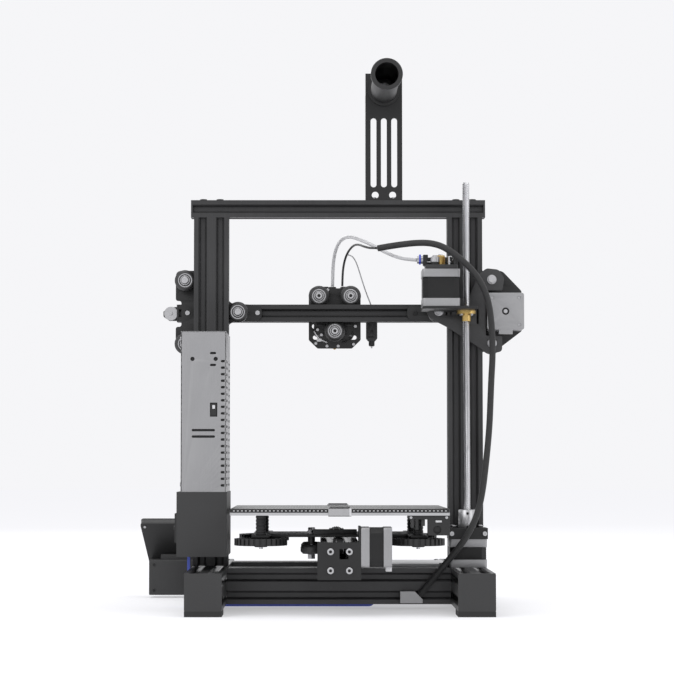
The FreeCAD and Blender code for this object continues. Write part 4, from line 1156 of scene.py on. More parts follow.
def makeSupply():
    s = supplySetup
    low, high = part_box("psu_case")
    x0, x1 = (low.x - railMiddle) / mm, (high.x - railMiddle) / mm
    y0, y1 = (low.y - portalMiddle) / mm, (high.y - portalMiddle) / mm
    z0, z1 = low.z / mm, high.z / mm
    heights = [s["ventLow"] + i * s["ventPitch"] for i in range(s["vents"])]
    piece = startPiece("shown_psu_case")
    notches = [slotHole(x0 + 3.4, z, 5.0, s["ventHigh"]) for z in heights]
    fittings = [roundHole(x1 - 12.7, 277.1, 2.3), roundHole(x0 + 11.6, 277.1, 2.3)]
    fittings += [slotHole(x0 + 14.5, z, 6.6, 2.5) for z in (270.5, 283.5)]
    fittings += [slotHole(x0 + 24.9, z, 25.4, 2.6) for z in (192.1, 199.1)]
    selector = oblong(x0 + 9.7, x0 + 17.7, 213.9, 229.2)
    rear = uprightPlate(
        oblong(x0, x1, z0, z1), notches + fittings + [selector], y1 - s["sheet"], s["sheet"], 0.8
    )
    addMesh(piece, rear, "brushedSheet", here)
    front = uprightPlate(oblong(x0, x1, z0, z1), notches, y0, s["sheet"], 0.8)
    addMesh(piece, front, "brushedSheet", here)
    columns = [y0 + 8 + s["ventLong"] / 2, y1 - 8 - s["ventLong"] / 2]
    slots = [slotHole(y, z, s["ventLong"], s["ventHigh"]) for z in heights for y in columns]
    grid = [(ring * 4.3, math.tau * k / (6 * ring)) for ring in range(1, 5) for k in range(6 * ring)]
    grid = [roundHole((y0 + y1) / 2 + r * math.cos(a), 280 + r * math.sin(a), 1.4, 10) for r, a in grid]
    for x, holes in ((x0, slots), (x1 - s["sheet"], grid)):
        addMesh(piece, sidePlate(oblong(y0, y1, z0, z1), holes, x, s["sheet"], 0.8), "brushedSheet", here)
    addMesh(
        piece, flatPlate(oblong(x0, x1, y0, y1), [], z1 - s["sheet"], s["sheet"], 0.8), "brushedSheet", here
    )
    # near-black block inside the sheet: painted shade for the case's inside; it also stops light passing
    # through the vents
    inset = s["sheet"] + 1.0
    addMesh(piece, block(x0 + inset, x1 - inset, y0 + inset, y1 - inset, z0, z1 - inset), "stator")
    addMesh(piece, block(x0 + 10.5, x0 + 16.9, y1 - 3, y1 - 0.6, 214.8, 228.3), "blackPlastic")
    addMesh(piece, block(x0 + 12.2, x0 + 15.2, y1 - 1.0, y1 - 0.1, 222.5, 226.5), "labelPaper")
    sides = [at(x1, y, z) for y in (y0 + 8, y1 - 8) for z in (z1 - 8, 140)]
    addScrews(piece, sides, xAxis, 2.4, 0.9, 1.1)
    finishPiece(piece, "frame", ["psu_case"])


makeSupply()


def makeInletPins():  # pins: three blades in the mains socket, and two screws beside it
    piece = startPiece("inletPins")
    for y, z in ((92, 96.0), (85.5, 89.5), (98.5, 89.5)):
        addMesh(piece, block(165.9, 176.0, y - 1.0, y + 1.0, z - 2.0, z + 2.0, 0.4), "zincPlate")
    finishPiece(piece, "frame")
    screws = startPiece("coverScrews")
    addScrews(screws, [at(180.4, y, 92) for y in (47.2, 112.8)], xAxis, 2.2, 0.9, 1.0, "stator")
    finishPiece(screws, "frame")


makeInletPins()
print("stage: supply")


# screen: its housing leans back; the glass and knob are on the front
screenSetup = {
    "lean": 28.0, "foot": (0, -214, 42), "thick": 13.0, "high": 61.0, "window": (158, 216, 12, 50),
    "knob": (227, 26)
}
screenPlace = Matrix.Translation(at(*screenSetup["foot"])) @ Matrix.Rotation(
    math.radians(-screenSetup["lean"]), 4, "X"
)


def makeScreen():
    s = screenSetup
    piece = startPiece("shown_screen_case")
    outline = [(156, 0), (229, 0), (240, s["high"]), (150, s["high"])]
    window = roundedOutline(oblong(*s["window"]), 1.0)
    knobHole = roundHole(*s["knob"], 3.6, 32)
    addMesh(piece, uprightPlate(outline, [window, knobHole], 0, 1.6, 3.5, 0.5), "blackPlastic", screenPlace)
    inner = [(156.2, 0.2), (228.8, 0.2), (239.7, s["high"] - 0.2), (150.3, s["high"] - 0.2)]
    addMesh(piece, uprightPlate(inner, [knobHole], 1.55, 3.6, 3.5, 0.2), "blackPlastic", screenPlace)
    addMesh(piece, uprightPlate(inner, [], 5.1, s["thick"] - 7.05, 3.5, 0.2), "blackPlastic", screenPlace)
    addMesh(piece, uprightPlate(outline, [], s["thick"] - 2.0, 2.0, 3.5, 0.5), "blackPlastic", screenPlace)
    x0, x1, z0, z1 = s["window"]
    glass = uprightPlate(oblong(x0 + 0.2, x1 - 0.2, z0 + 0.2, z1 - 0.2), [], 0.35, 1.0, 0.8, 0.1)
    addMesh(piece, glass, "displayGlass", screenPlace)
    backs = [
        screenPlace @ (Vector((x, s["thick"], z)) * mm) for x,
        z in ((158, 5), (227, 5), (234, 56), (156, 56))
    ]
    outward = screenPlace.to_3x3() @ yAxis
    addScrews(piece, backs, outward, 1.6, 0.6, 0.8)
    holder = [(-197, 3.3), (-165, 3.3), (-165, 46), (-197, 46)]
    addMesh(piece, sidePlate(holder, [], 165.8, 62.2, 2.0, 0.8), "greyPlastic", here)
    addMesh(piece, block(173.5, 215, -205, -185, 30, 52, 1.5), "greyPlastic")
    addScrews(piece, [at(x, -165, z) for x in (172, 222) for z in (9, 40)], yAxis, 1.7, 0.8, 0.9, "stator")
    finishPiece(piece, "frame", ["screen_case"])
    knob = startPiece("shown_screen_knob")
    centre = screenPlace @ (Vector((s["knob"][0], 0, s["knob"][1])) * mm)
    outwards = screenPlace.to_3x3() @ -yAxis
    place = facing(outwards, centre)
    addMesh(
        knob,
        latheMesh([(0, -4.5), (3.2, -4.5), (3.2, 0.5), (7.6, 0.5), (7.6, 11.0), (6.9, 11.9), (0, 12.0)]),
        "greyPlastic", place
    )
    addRidges(knob, "greyPlastic", 36, 7.45, (0.9, 0.75, 9.6), place @ Matrix.Translation((0, 0, 5.6 * mm)))
    finishPiece(knob, "screen_knob", ["screen_knob"])


makeScreen()
print("stage: screen")


# sliding bed
bedSetup = {
    "middle": 68.5, "half": 117.5, "bar": 85.0, "low": 82.5, "thick": 3.0, "column": 5.4, "heater": 107.2
}


def makeGlass():  # glass: a coated sheet; pale dashes run along its edges
    low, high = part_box("glass_plate")
    piece = startPiece("shown_glass_plate")
    x, y0, y1 = (high.x - low.x) / 2 / mm, (low.y - portalMiddle) / mm, (high.y - portalMiddle) / mm
    z = low.z / mm
    sheet = flatPlate(oblong(-x, x, y0, y1), [], z, (high.z - low.z) / mm, 4.0, 0.35)
    addMesh(piece, sheet, "bedGlass", here)
    dash = (1.9, 0.5, 0.8)
    count = 54
    for y in (y0 - 0.1, y1 + 0.1):
        first = block(
            -x + 3.5, -x + 3.5 + dash[0], y - dash[1] / 2, y + dash[1] / 2, z + 1.6, z + 1.6 + dash[2],
            0.05, 1
        )
        step = (2 * x - 7 - dash[0]) / (count - 1)
        addStack(piece, first, "labelPaper", count, (step, 0, 0), None)
    finishPiece(piece, "bed", ["glass_plate"])


glassSetup = {"cell": 3.0, "light": 0.035, "dark": 0.007}


def makeBedGlass():  # coating: black, with a fine lattice of raised grey dots
    material = bpy.data.materials.new("bedGlass")
    material.use_nodes = True
    nodes, links = material.node_tree.nodes, material.node_tree.links
    shader = nodes["Principled BSDF"]
    shader.inputs["Specular IOR Level"].default_value = 0.3
    place = nodes.new("ShaderNodeTexCoord")
    dots = nodes.new("ShaderNodeTexVoronoi")
    dots.inputs["Randomness"].default_value = 0.0
    dots.inputs["Scale"].default_value = 1000 / glassSetup["cell"]
    links.new(place.outputs["Object"], dots.inputs["Vector"])
    ramp = nodes.new("ShaderNodeValToRGB")
    ramp.color_ramp.elements[0].position = 0.22
    ramp.color_ramp.elements[1].position = 0.36
    ramp.color_ramp.elements[0].color = colourOf(glassSetup["light"])
    ramp.color_ramp.elements[1].color = colourOf(glassSetup["dark"])
    links.new(dots.outputs["Distance"], ramp.inputs["Fac"])
    links.new(ramp.outputs["Color"], shader.inputs["Base Color"])
    gloss = nodes.new("ShaderNodeMapRange")
    gloss.inputs["To Min"].default_value, gloss.inputs["To Max"].default_value = 0.5, 0.26
    links.new(dots.outputs["Distance"], gloss.inputs["Value"])
    links.new(gloss.outputs["Result"], shader.inputs["Roughness"])
    bump = nodes.new("ShaderNodeBump")
    bump.invert = True
    bump.inputs["Distance"].default_value = 0.03 * mm
    links.new(dots.outputs["Distance"], bump.inputs["Height"])
    links.new(bump.outputs["Normal"], shader.inputs["Normal"])
    return material


materials["bedGlass"] = makeBedGlass()
makeGlass()


def makeBedCarriage():
    b = bedSetup
    mid, bar, low = b["middle"], b["bar"], b["low"]
    top = low + b["thick"]
    piece = startPiece("shown_bed_carriage")
    outline = [
        (-95, mid - 95), (-75, mid - 95), (-75, mid - 60),
        (75, mid - 60), (75, mid - 95), (95, mid - 95),
        (95, mid + 95), (75, mid + 95), (75, mid + 60),
        (-75, mid + 60), (-75, mid + 95), (-95, mid + 95),
    ]
    holes = [slotHole(x, mid + y, 26, 9) for x in (-55, 55) for y in (-38, 0, 38)]
    holes += [slotHole(0, mid + y, 9, 30) for y in (-20, 24)]
    addMesh(piece, flatPlate(outline, holes, low, b["thick"], 4.0), "blackSteel", here)
    addMesh(piece, block(-19.2, 28.6, mid + 53, mid + 60, top, top + 5.6, 0.8), "blackSteel")
    for x in (-bar, bar):
        for y in (mid - bar, mid + bar):
            centre = at(x, y, 0)
            high, c = b["heater"], b["column"]
            column = [(1.9, top + 0.1), (c - 0.5, top + 0.1), (c, top + 0.6)]
            rings = 6
            for i in range(rings):  # a ribbed silicone column
                z = top + 1.2 + (high - top - 2.6) * i / (rings - 1)
                column += [(c, z), (c - 0.5, z + 0.6), (c - 0.5, z + 1.4), (c, z + 2.0)]
            column = [
                point for point in column if point[1] <= high - 0.6
            ] + [(c, high - 0.5), (c - 0.5, high), (1.9, high)]
            turnedAt(piece, "greyPlastic", column, zAxis, centre)
            turnedAt(piece, "brightSteel", disc(2.0, 70.5, high - 0.1), zAxis, centre, 20)
    bolts = startPiece("bedBolts")
    for x in (-30.4, 30.4):
        for y in (mid - 45, mid + 45):
            centre = at(x, y, 0)
            turnedAt(bolts, "zincPlate", disc(2.5, 58.5, low), zAxis, centre, 20)
            turnedAt(bolts, "stator", tubeWall(4.0, 2.4, 74.6, low), zAxis, centre, 24)
            addMesh(bolts, hexMesh(8.0, 5.0), "zincPlate", Matrix.Translation(at(x, y, 58.5)))
            turnedAt(bolts, "zincPlate", disc(5.0, top, top + 0.9), zAxis, centre)
            addMesh(bolts, hexMesh(8.0, 4.0), "zincPlate", Matrix.Translation(at(x, y, top + 0.9)))
    finishPiece(bolts, "bed")
    spots = [at(x, mid + y, top) for x in (-8, 8) for y in (-52, 46)]
    addScrews(piece, spots, zAxis, 2.4, 1.6, 1.2)
    finishPiece(piece, "bed", ["bed_carriage"])


makeBedCarriage()


def makeBedFittings():
    b = bedSetup
    piece = startPiece("shown_bed_fittings")
    rear, top = b["middle"] + b["half"], 114.2
    for edge, inward in ((rear, -1), (rear - 2 * b["half"], 1)):
        y0, y1 = sorted((edge - inward * 1.2, edge + inward * 12))
        w0, w1 = sorted((edge, edge - inward * 1.2))
        addMesh(piece, block(-12.3, 12.3, y0, y1, top, top + 1.2, 0.3), "paleSheet")
        addMesh(piece, block(-12.3, 12.3, w0, w1, 106.2, top + 1.2, 0.3), "paleSheet")
        addMesh(piece, block(-12.3, 12.3, y0, y1, 106.2, 107.2, 0.3), "paleSheet")
        lip = block(
            -11.0, 11.0, y1 - 1.6 if inward > 0 else y0, y1 if inward > 0 else y0 + 1.6, top + 1.1,
            top + 2.4, 0.4
        )
        addMesh(piece, lip, "stator")
        # a pale strip down one edge of the clip's wall: painted highlight
        addMesh(piece, block(-12.4, -10.2, w0 - 0.1, w1 + 0.1, 106.6, top + 0.8, 0.2), "labelPaper")
    # the strain relief under the rear corner, where the bed's leads leave
    addMesh(piece, block(-117.5, -72.7, 166, 184, 103.0, 107.2, 0.6), "blackPlastic")
    window = [roundedOutline(oblong(-109.4, -101.6, 99.4, 102.4), 0.6), slotHole(-104.0, 92.0, 8.6, 8.4)]
    shell = uprightPlate([(-117.5, 86), (-94, 86), (-94, 103.4), (-117.5, 103.4)], window, 180, 4.0, 1.2)
    addMesh(piece, shell, "blackPlastic", here)
    addMesh(piece, block(-117.5, -94, 168, 180.2, 86, 103.2, 0.6), "blackPlastic")
    addMesh(piece, block(-109.0, -102.0, 180.1, 183.2, 99.8, 102.1, 0.3), "palePlug")
    addMesh(piece, block(-84, -80.6, 168, 184, 92, 103.2, 0.6), "blackPlastic")
    addMesh(piece, block(-79.0, -76.0, 168, 184, 94, 103.2, 0.6), "greyPlastic")
    addMesh(piece, block(-91.0, -87.0, 170, 182, 96, 103.2, 0.6), "greyPlastic")
    addScrews(piece, [at(x, 184.0, 105.1) for x in (-114, -76)], yAxis, 1.5, 0.7, 0.8)
    finishPiece(piece, "bed", ["bed_fittings"])


makeBedFittings()

knobSetup = {"radius": 28.7, "high": 7.9, "low": 74.3, "ridges": 30, "ridge": (3.2, 3.4, 7.4), "arms": 5}


def makeBedKnob(joint):
    k = knobSetup
    piece = startPiece("shown_" + joint["child"])
    low, high, rim = k["low"], k["low"] + k["high"], k["radius"] - 1.6
    middle = Vector((joint["pos_m"][0], joint["pos_m"][1], 0))
    profile = [
        (2.1, low - 1.7), (6.4, low - 1.7), (7.0, low - 1.1),
        (7.0, low + 1.6), (20.5, low + 2.2), (21.5, low + 0.3),
        (rim - 0.6, low), (rim, low + 0.6), (rim, high - 0.6),
        (rim - 0.6, high), (21.5, high), (20.5, high - 2.0),
        (8.0, high - 2.0), (7.0, high), (2.1, high),
    ]
    turnedAt(piece, "blackPlastic", profile, zAxis, middle, 60)
    place = Matrix.Translation(middle + Vector((0, 0, (low + high) / 2 * mm)))
    addRidges(piece, "blackPlastic", k["ridges"], k["radius"] - 1.7, k["ridge"], place)
    addRidges(piece, "blackPlastic", k["arms"], 14.0, (15.0, 2.4, 6.4), place)
    finishPiece(piece, joint["child"], [joint["child"]])


for joint in frame["joints"]:
    if joint["child"].startswith("bed_knob"):
        makeBedKnob(joint)
print("stage: bed")


# gantry
gantrySetup = {
    "z": 336.5, "front": -16.0, "rear": 13.0, "thick": 3.0,
    "wheels": ((175.9, 36.5), (175.9, -36.5), (115.1, 0.0))
}


# bolt: a shank from y0 to y1, its spacer before the roller and its head behind
def addWheelBolt(piece, place, y0, y1, wheelY, rearY, hexed=False):
    x, z = place
    turnedAt(piece, "zincPlate", disc(2.5, 0, y1 - y0), yAxis, at(x, y0, z), 20)
    turnedAt(piece, "milledAlloy", tubeWall(4.0, 2.4, 0, wheelY - 5.5 - y0), yAxis, at(x, y0, z), 24)
    if hexed:
        turnedAt(piece, "zincPlate", disc(5.4, 0, 0.9), yAxis, at(x, rearY, z))
        addMesh(piece, hexMesh(8.2, 3.1), "zincPlate", facing(yAxis, at(x, rearY + 0.9, z)))
        return
    turnedAt(piece, "stator", tubeWall(6.7, 5.9, 0, 0.7), yAxis, at(x, rearY, z))
    turnedAt(piece, "zincPlate", disc(5.7, 0, 0.9), yAxis, at(x, rearY, z))
    turnedAt(piece, "stator", tubeWall(4.7, 3.9, 0.8, 1.3), yAxis, at(x, rearY, z))
    addScrews(piece, [at(x, rearY + 0.9, z)], yAxis, 4.1, 2.4, 2.1)
    turnedAt(piece, "stator", disc(1.9, 0.2, 1.7), yAxis, at(x, rearY + 0.9, z), 20)


def makeLeftPlate():
    g = gantrySetup
    z = g["z"]
    piece = startPiece("shown_gantry_plate_left")
    outline = [
        (88, z - 9), (124, z - 11), (146, z - 45), (187.5, z - 45), (187.5, z - 16), (181, z - 16),
        (181, z + 14), (187.5, z + 14), (187.5, z + 49), (146, z + 49), (124, z + 11), (88, z + 9),
    ]
    corners = [8.5, 8, 6, 7, 3, 3, 3, 3, 7, 6, 8, 8.5]
    holes = [roundHole(x, z + dz, 2.4) for x, dz in g["wheels"]]
    holes += [slotHole(x, z, 7, 4) for x in (140, 158)]
    addMesh(piece, uprightPlate(outline, holes, g["front"], g["thick"], corners), "blackSteel", here)
    bolts = startPiece("leftBolts")
    for x, dz in g["wheels"]:
        addWheelBolt(bolts, (x, z + dz), g["front"] + g["thick"], 9.0, 0.0, 5.5)
    turned = [at(x, g["front"] + g["thick"], z) for x in (93, 173.7)]
    addScrews(bolts, turned, yAxis, 2.8, 1.6, 1.3)
    fronts = [
        at(x, g["front"], z + dz) for x, dz in g["wheels"]
    ] + [at(x, g["front"], z) for x in (93, 173.7)]
    addScrews(bolts, fronts, -yAxis, 4.0, 2.4, 1.9)
    finishPiece(bolts, "gantry")
    # the block on the beam's end that holds the belt's idler
    end = sidePlate(
        oblong(-36, -16, z - 10, z + 10), [oblong(-31, -21, z - 9, z + 9)], 184.0, 2.5, 1.0, 0.2
    )
    addMesh(piece, end, "blackPlastic", here)
    cheek = uprightPlate(
        [(184, z - 8), (196, z - 8), (203, z - 3), (203, z + 3), (196, z + 8), (184, z + 8)], [], -36, 3.5,
        1.5
    )
    addMesh(piece, cheek, "blackPlastic", here)
    idler = middleOf("x_idler")
    turnedAt(piece, "zincPlate", disc(2.0, 0, 12.0), yAxis, Vector((idler.x, at(0, -33, 0).y, idler.z)), 20)
    finishPiece(piece, "gantry", ["gantry_plate_left"])


makeLeftPlate()


def makeRightPlates():
    g = gantrySetup
    z = g["z"]
    piece = startPiece("shown_gantry_plates_right")
    front = [
        (-80, z + 9), (-80, z - 9), (-124, z - 11), (-146, z - 45), (-181, z - 45), (-212.4, z - 21.1),
        (-212.4, z + 25.5), (-190, z + 49), (-146, z + 49), (-124, z + 11),
    ]
    holes = [roundHole(-191.3, z, 11.5, 40)] + [roundHole(-x, z + dz, 2.4) for x, dz in g["wheels"]]
    corners = [8.5, 8.5, 8, 6, 8, 3, 3, 10, 6, 8]
    addMesh(piece, uprightPlate(front, holes, g["front"], g["thick"], corners), "blackSteel", here)
    side = -168.8
    rear = [
        (-97, z + 8), (-105, z - 8), (-124.4, z - 18),
        (-172, z - 48.5), (-187.5, z - 46), (-187.5, z - 28),
        (side, z - 28), (side, z + 24), (-188, z + 24),
        (-190, z + 38), (-184, z + 48), (-170, z + 49.5),
        (-160, z + 42), (-150, z + 16),
    ]
    slots = [slotHole(-159.5, z - 6, 2.4, 17)]
    slots += [slotHole(x, z - 1, 2.0, 6.5) for x in (-124, -129, -150.5, -154.5)]
    corners = [3, 4, 4, 8, 5, 2, 2, 2, 2, 5, 7, 7, 4, 6]
    addMesh(piece, uprightPlate(rear, slots, g["rear"], g["thick"], corners), "greySteel", here)
    shelfHoles = [roundHole(-145.5, 33, 6, 30), roundHole(-115.2, 50, 8, 30)]
    shelf = [
        (-156, 16), (-121, 16), (-121, 21.5), (-109, 21.5), (-109, 16), (-94.5, 16), (-94.5, 72), (-156, 72)
    ]
    addMesh(piece, flatPlate(shelf, shelfHoles, 336, 3, [1, 1, 1, 1, 1, 1, 3, 3]), "blackSteel", here)
    finishPiece(piece, "gantry", ["gantry_plates_right"])
    bolts = startPiece("rightBolts")
    for x, dz in g["wheels"]:
        addWheelBolt(bolts, (-x, z + dz), g["front"] + g["thick"], 13.0, 0.0, 16.0, True)
        turnedAt(bolts, "milledAlloy", tubeWall(4.0, 2.4, 0, 7.4), yAxis, at(-x, 5.5, z + dz), 24)
    fronts = [at(-x, g["front"], z + dz) for x, dz in g["wheels"]]
    fronts += [at(-191.3 + dx, g["front"], z + dz) for dx in (-15.5, 15.5) for dz in (-15.5, 15.5)]
    addScrews(bolts, fronts, -yAxis, 3.0, 2.2, 1.4)
    addScrews(bolts, [at(-89, g["front"] + g["thick"], z)], yAxis, 2.8, 1.4, 1.3, "stator")
    # the brass nut that the lead screw turns in, with its flange against the shelf
    nut = [(4.1, 324), (5.2, 324), (5.2, 332.4), (11.0, 332.4), (11.0, 336), (4.1, 336)]
    turnedAt(bolts, "brass", nut, zAxis, at(-145.5, 33, 0), 40)
    around = [at(-145.5 + 8 * math.cos(a), 33 + 8 * math.sin(a), 332.4) for a in (0.8, 2.4, 3.9, 5.5)]
    addScrews(bolts, around, -zAxis, 1.6, 1.5, 0.8)
    finishPiece(bolts, "gantry")


makeRightPlates()
print("stage: gantry plates")


# filament feeder on its motor
feederSetup = {"top": 381.0, "deck": 386.0, "gear": (-115.2, 50), "pivot": (-127, 37)}


def makeFeeder():
    f = feederSetup
    deck = f["deck"]
    piece = startPiece("shown_extruder_body")
    base = flatPlate(
        [(-134, 31), (-98, 31), (-98, 69), (-134, 69)], [roundHole(*f["gear"], 6.5, 32)], f["top"], 5, 3
    )
    addMesh(piece, base, "greyPlastic", here)
    addMesh(piece, block(-101, -95.5, 43, 57, deck, deck + 12, 0.8), "blackPlastic")
    addMesh(piece, block(-134, -129, 56, 69, deck, deck + 12, 0.8), "blackPlastic")
    addMesh(piece, block(-112.5, -104.5, 58, 66, deck, deck + 3, 0.6), "blackPlastic")
    turnedAt(piece, "zincPlate", tubeWall(5.0, 1.6, 3.0, 9.0), zAxis, at(-108.5, 62, deck))
    addScrews(piece, [at(-108.5, 62, deck + 9)], zAxis, 2.8, 1.4, 1.3)
    fitting = [(0, 0), (4.5, 0), (4.5, 2.2), (3.9, 2.4), (3.9, 4.2), (4.3, 4.4), (4.3, 6.5), (0, 6.5)]
    turnedAt(piece, "zincPlate", fitting, xAxis, at(-95.5, 50, 392.5))
    clip = [(4.32, 2.4), (5.4, 2.4), (5.4, 4.2), (4.32, 4.2)]
    turnedAt(piece, "blueClip", clip, xAxis, at(-95.3, 50, 392.5))
    addMesh(piece, block(-93.3, -91.2, 48.8, 51.2, 396, 398.6, 0.3), "blueClip")
    gearPlace = at(*f["gear"], f["top"])
    turnedAt(piece, "brass", tubeWall(5.0, 2.5, 2.0, 16.5), zAxis, gearPlace)
    addRidges(
        piece, "brass", 32, 5.0, (0.9, 0.5, 8.0), Matrix.Translation(gearPlace + Vector((0, 0, 11 * mm)))
    )
    turnedAt(piece, "brightSteel", disc(2.45, -1, 18.0), zAxis, gearPlace, 24)
    turnedAt(piece, "zincPlate", disc(2.5, 0, 12), zAxis, at(*f["pivot"], deck), 24)
    coil = []
    for i in range(6 * 10 + 1):  # the lever's spring, wound along Y
        turn = math.tau * i / 10
        coil.append(at(-131.5 + 2.6 * math.cos(turn), 43.5 + 0.2 * i, deck + 6 + 2.6 * math.sin(turn)))
    addMesh(piece, wireMesh(coil, 0.55, 8), "zincPlate")
    corners = [at(x, y, deck) for x, y in ((-101.5, 65.5), (-125.0, 65.5))]
    addScrews(piece, corners, zAxis, 2.7, 2.6, 1.3)
    turnedAt(piece, "brightSteel", disc(2.0, 0, 9.5), zAxis, at(-125, 60, deck), 20)
    finishPiece(piece, "gantry", ["extruder_body"])
    lever = startPiece("shown_extruder_lever")
    x, y = f["pivot"]
    arm = [(x - 6, y - 5), (x + 30, y - 5), (x + 30, y), (x + 6, y + 5), (x - 6, y + 5)]
    addMesh(
        lever, flatPlate(arm, [roundHole(x, y, 2.6, 24)], deck + 0.4, 10, [3, 2, 2, 3, 3], 0.6),
        "blackPlastic", here
    )
    for i in range(5):  # finger ribs
        ribX = x + 14 + 3.2 * i
        addMesh(
            lever, block(ribX - 0.6, ribX + 0.6, y - 5.7, y - 4.8, deck + 1.4, deck + 9.4, 0.3),
            "blackPlastic"
        )
    finishPiece(lever, "extruder_lever", ["extruder_lever"])


makeFeeder()
print("stage: feeder")


# print head
headSetup = {
    "x": 3.5, "z": 336.5, "plate": -42.0, "thick": 3.0,
    "wheels": ((-18.4, 20.4), (18.4, 20.4), (0.0, -20.4)), "fan": 17.5
}


def makeHeadPlate():
    h = headSetup
    x, z, front = h["x"], h["z"], h["plate"]
    rear = front + h["thick"]
    piece = startPiece("shown_carriage_plate")
    outline = [
        (x - 30.3, z - 30), (x - 20, z - 39.9), (x + 20, z - 39.9),
        (x + 30.3, z - 30), (x + 30.3, z + 32.5),
        (x + 7.5, z + 32.5), (x + 6, z + 30.6), (x - 6, z + 30.6),
        (x - 7.5, z + 32.5), (x - 30.3, z + 32.5),
    ]
    corners = [3, 3, 3, 3, 11.4, 2, 1, 1, 2, 11.4]
    holes = [roundHole(x + dx, z + dz, 2.4) for dx, dz in h["wheels"]]
    holes += [slotHole(x + dx, z - 27, 9, 5) for dx in (-21, 21)] + [roundHole(x + 24, z - 14, 2.6)]
    addMesh(piece, uprightPlate(outline, holes, front, h["thick"], corners), "blackSteel", here)
    for dx in (-16, 16):
        addMesh(piece, block(x + dx - 5, x + dx + 5, rear, rear + 3.0, z - 14, z - 11.2, 0.5), "blackSteel")
    finishPiece(piece, "carriage", ["carriage_plate"])
    bolts = startPiece("headBolts")
    for dx, dz in h["wheels"]:
        addWheelBolt(bolts, (x + dx, z + dz), rear, -20.0, -26.0, -20.5)
        turnedAt(bolts, "zincPlate", tubeWall(7.6, 2.5, 0, 0.5), yAxis, at(x + dx, -20.9, z + dz))
    small = [
        at(x + 8, rear, z + 28.5), at(x - 22, rear, z - 35), at(x + 9, rear, z - 37),
        at(x - 4, rear, z - 37)
    ]
    small += [at(x + dx, rear, z + dz) for dx, dz in ((20, -18), (15.5, -24), (-24, -14), (22, -34))]
    addScrews(bolts, small, yAxis, 1.8, 1.2, 0.9)
    fronts = [at(x + dx, front, z + dz) for dx, dz in h["wheels"][:2]]
    addScrews(bolts, fronts, -yAxis, 4.0, 2.4, 1.9)
    finishPiece(bolts, "carriage")
    wires = startPiece("headWires")
    runs = {
        "labelPaper": [
            (x + 24, -37.6, z - 20), (x + 20, -36.6, z - 27), (x + 14, -36.8, z - 31),
            (x + 9, -37.6, z - 33)
        ],
        "cableJacket": [
            (x - 20, -37.4, z - 20), (x - 22, -36.2, z - 26), (x - 17, -36.0, z - 31),
            (x - 9, -37.2, z - 33)
        ],
    }
    for finish, run in runs.items():
        addMesh(wires, wireMesh([at(*point) for point in run], 0.8), finish)
    addMesh(wires, block(x + 15, x + 21, rear, rear + 3.4, z - 32, z - 28.6, 0.5), "palePlug")
    finishPiece(wires, "carriage")


makeHeadPlate()


def makeHotEnd():
    h = headSetup
    x, front = h["x"], h["plate"]
    piece = startPiece("shown_hotend")
    fanZ, frontY = 332.0, front - 34
    square = oblong(x - 24, x + 24, 312, 352)
    opening = [roundHole(x, fanZ, h["fan"], 48)]
    posts = [roundHole(x + dx, fanZ + dz, 1.7, 14) for dx in (-16, 16) for dz in (-16, 16)]
    addMesh(piece, uprightPlate(square, opening + posts, frontY, 6.0, 4.0, 0.6), "blackPlastic", here)
    addMesh(piece, uprightPlate(square, opening, frontY + 5.9, 3.0, 4.0, 0.2), "greyPlastic", here)
    addMesh(piece, uprightPlate(square, [], frontY + 8.8, 25.2, 4.0, 0.6), "blackPlastic", here)
    hub = at(x, frontY + 1.0, fanZ)
    turnedAt(piece, "blackPlastic", disc(8.0, 0, 7.6, 0.8), yAxis, hub)
    blades = facing(yAxis, at(x, frontY + 4.0, fanZ))
    addRidges(piece, "blackPlastic", 7, 12.4, (9.2, 0.7, 6.4), blades, 38)
    addScrews(
        piece,
        [at(x + dx, frontY, fanZ + dz) for dx in (-16, 16) for dz in (-16, 16)], -yAxis, 2.3, 1.2,
        1.1
    )
    rib = block(x - 24.5, x - 23.6, frontY + 11, frontY + 31, 318, 319.6, 0.2, 1)
    addStack(piece, rib, "blackPlastic", 9, (0, 0, 3.4), None)
    rib = block(x + 23.6, x + 24.5, frontY + 11, frontY + 31, 318, 319.6, 0.2, 1)
    addStack(piece, rib, "blackPlastic", 9, (0, 0, 3.4), None)
    duct = [(x - 22, 312.6), (x - 12, 300), (x + 12, 300), (x + 22, 312.6)]
    addMesh(piece, uprightPlate(duct, [], front - 30, 6.0, 1.5, 0.5), "blackPlastic", here)
    addMesh(piece, block(x - 8, x + 12, -65, -49, 301, 312.4, 0.8), "milledAlloy")
    turnedAt(
        piece, "brass",
        [(0, 296.2), (0.9, 296.2), (1.2, 296.5), (3.2, 298.7), (3.9, 299.3), (3.9, 301.5), (0, 301.5)],
        zAxis, at(x, -57, 0)
    )
    sink = [(2.2, 351.5)]
    for i in range(4):
        z = 352 + 2.1 * i
        sink += [(4.2, z), (8.0, z + 0.1), (8.0, z + 1.1), (4.2, z + 1.2)]
    sink += [(4.2, 360.2), (2.2, 360.2)]
    turnedAt(piece, "milledAlloy", sink, zAxis, at(5.7, -50, 0))
    collar = [
        (2.05, 360), (4.5, 360), (4.5, 365.4), (3.6, 366), (3.6, 367.4), (4.2, 367.8), (4.2, 369.3),
        (2.05, 369.3)
    ]
    turnedAt(piece, "blackPlastic", collar, zAxis, at(5.9, -50, 0))
    finishPiece(piece, "carriage", ["hotend"])


makeHotEnd()


probeSetup = {
    "x": -40.0, "half": 6.5, "low": 306, "high": 342.4, "front": -62.0, "rear": -52.0, "cover": 2.0,
    "tip": 297.6, "nose": 300.0, "shelf": 342,
}


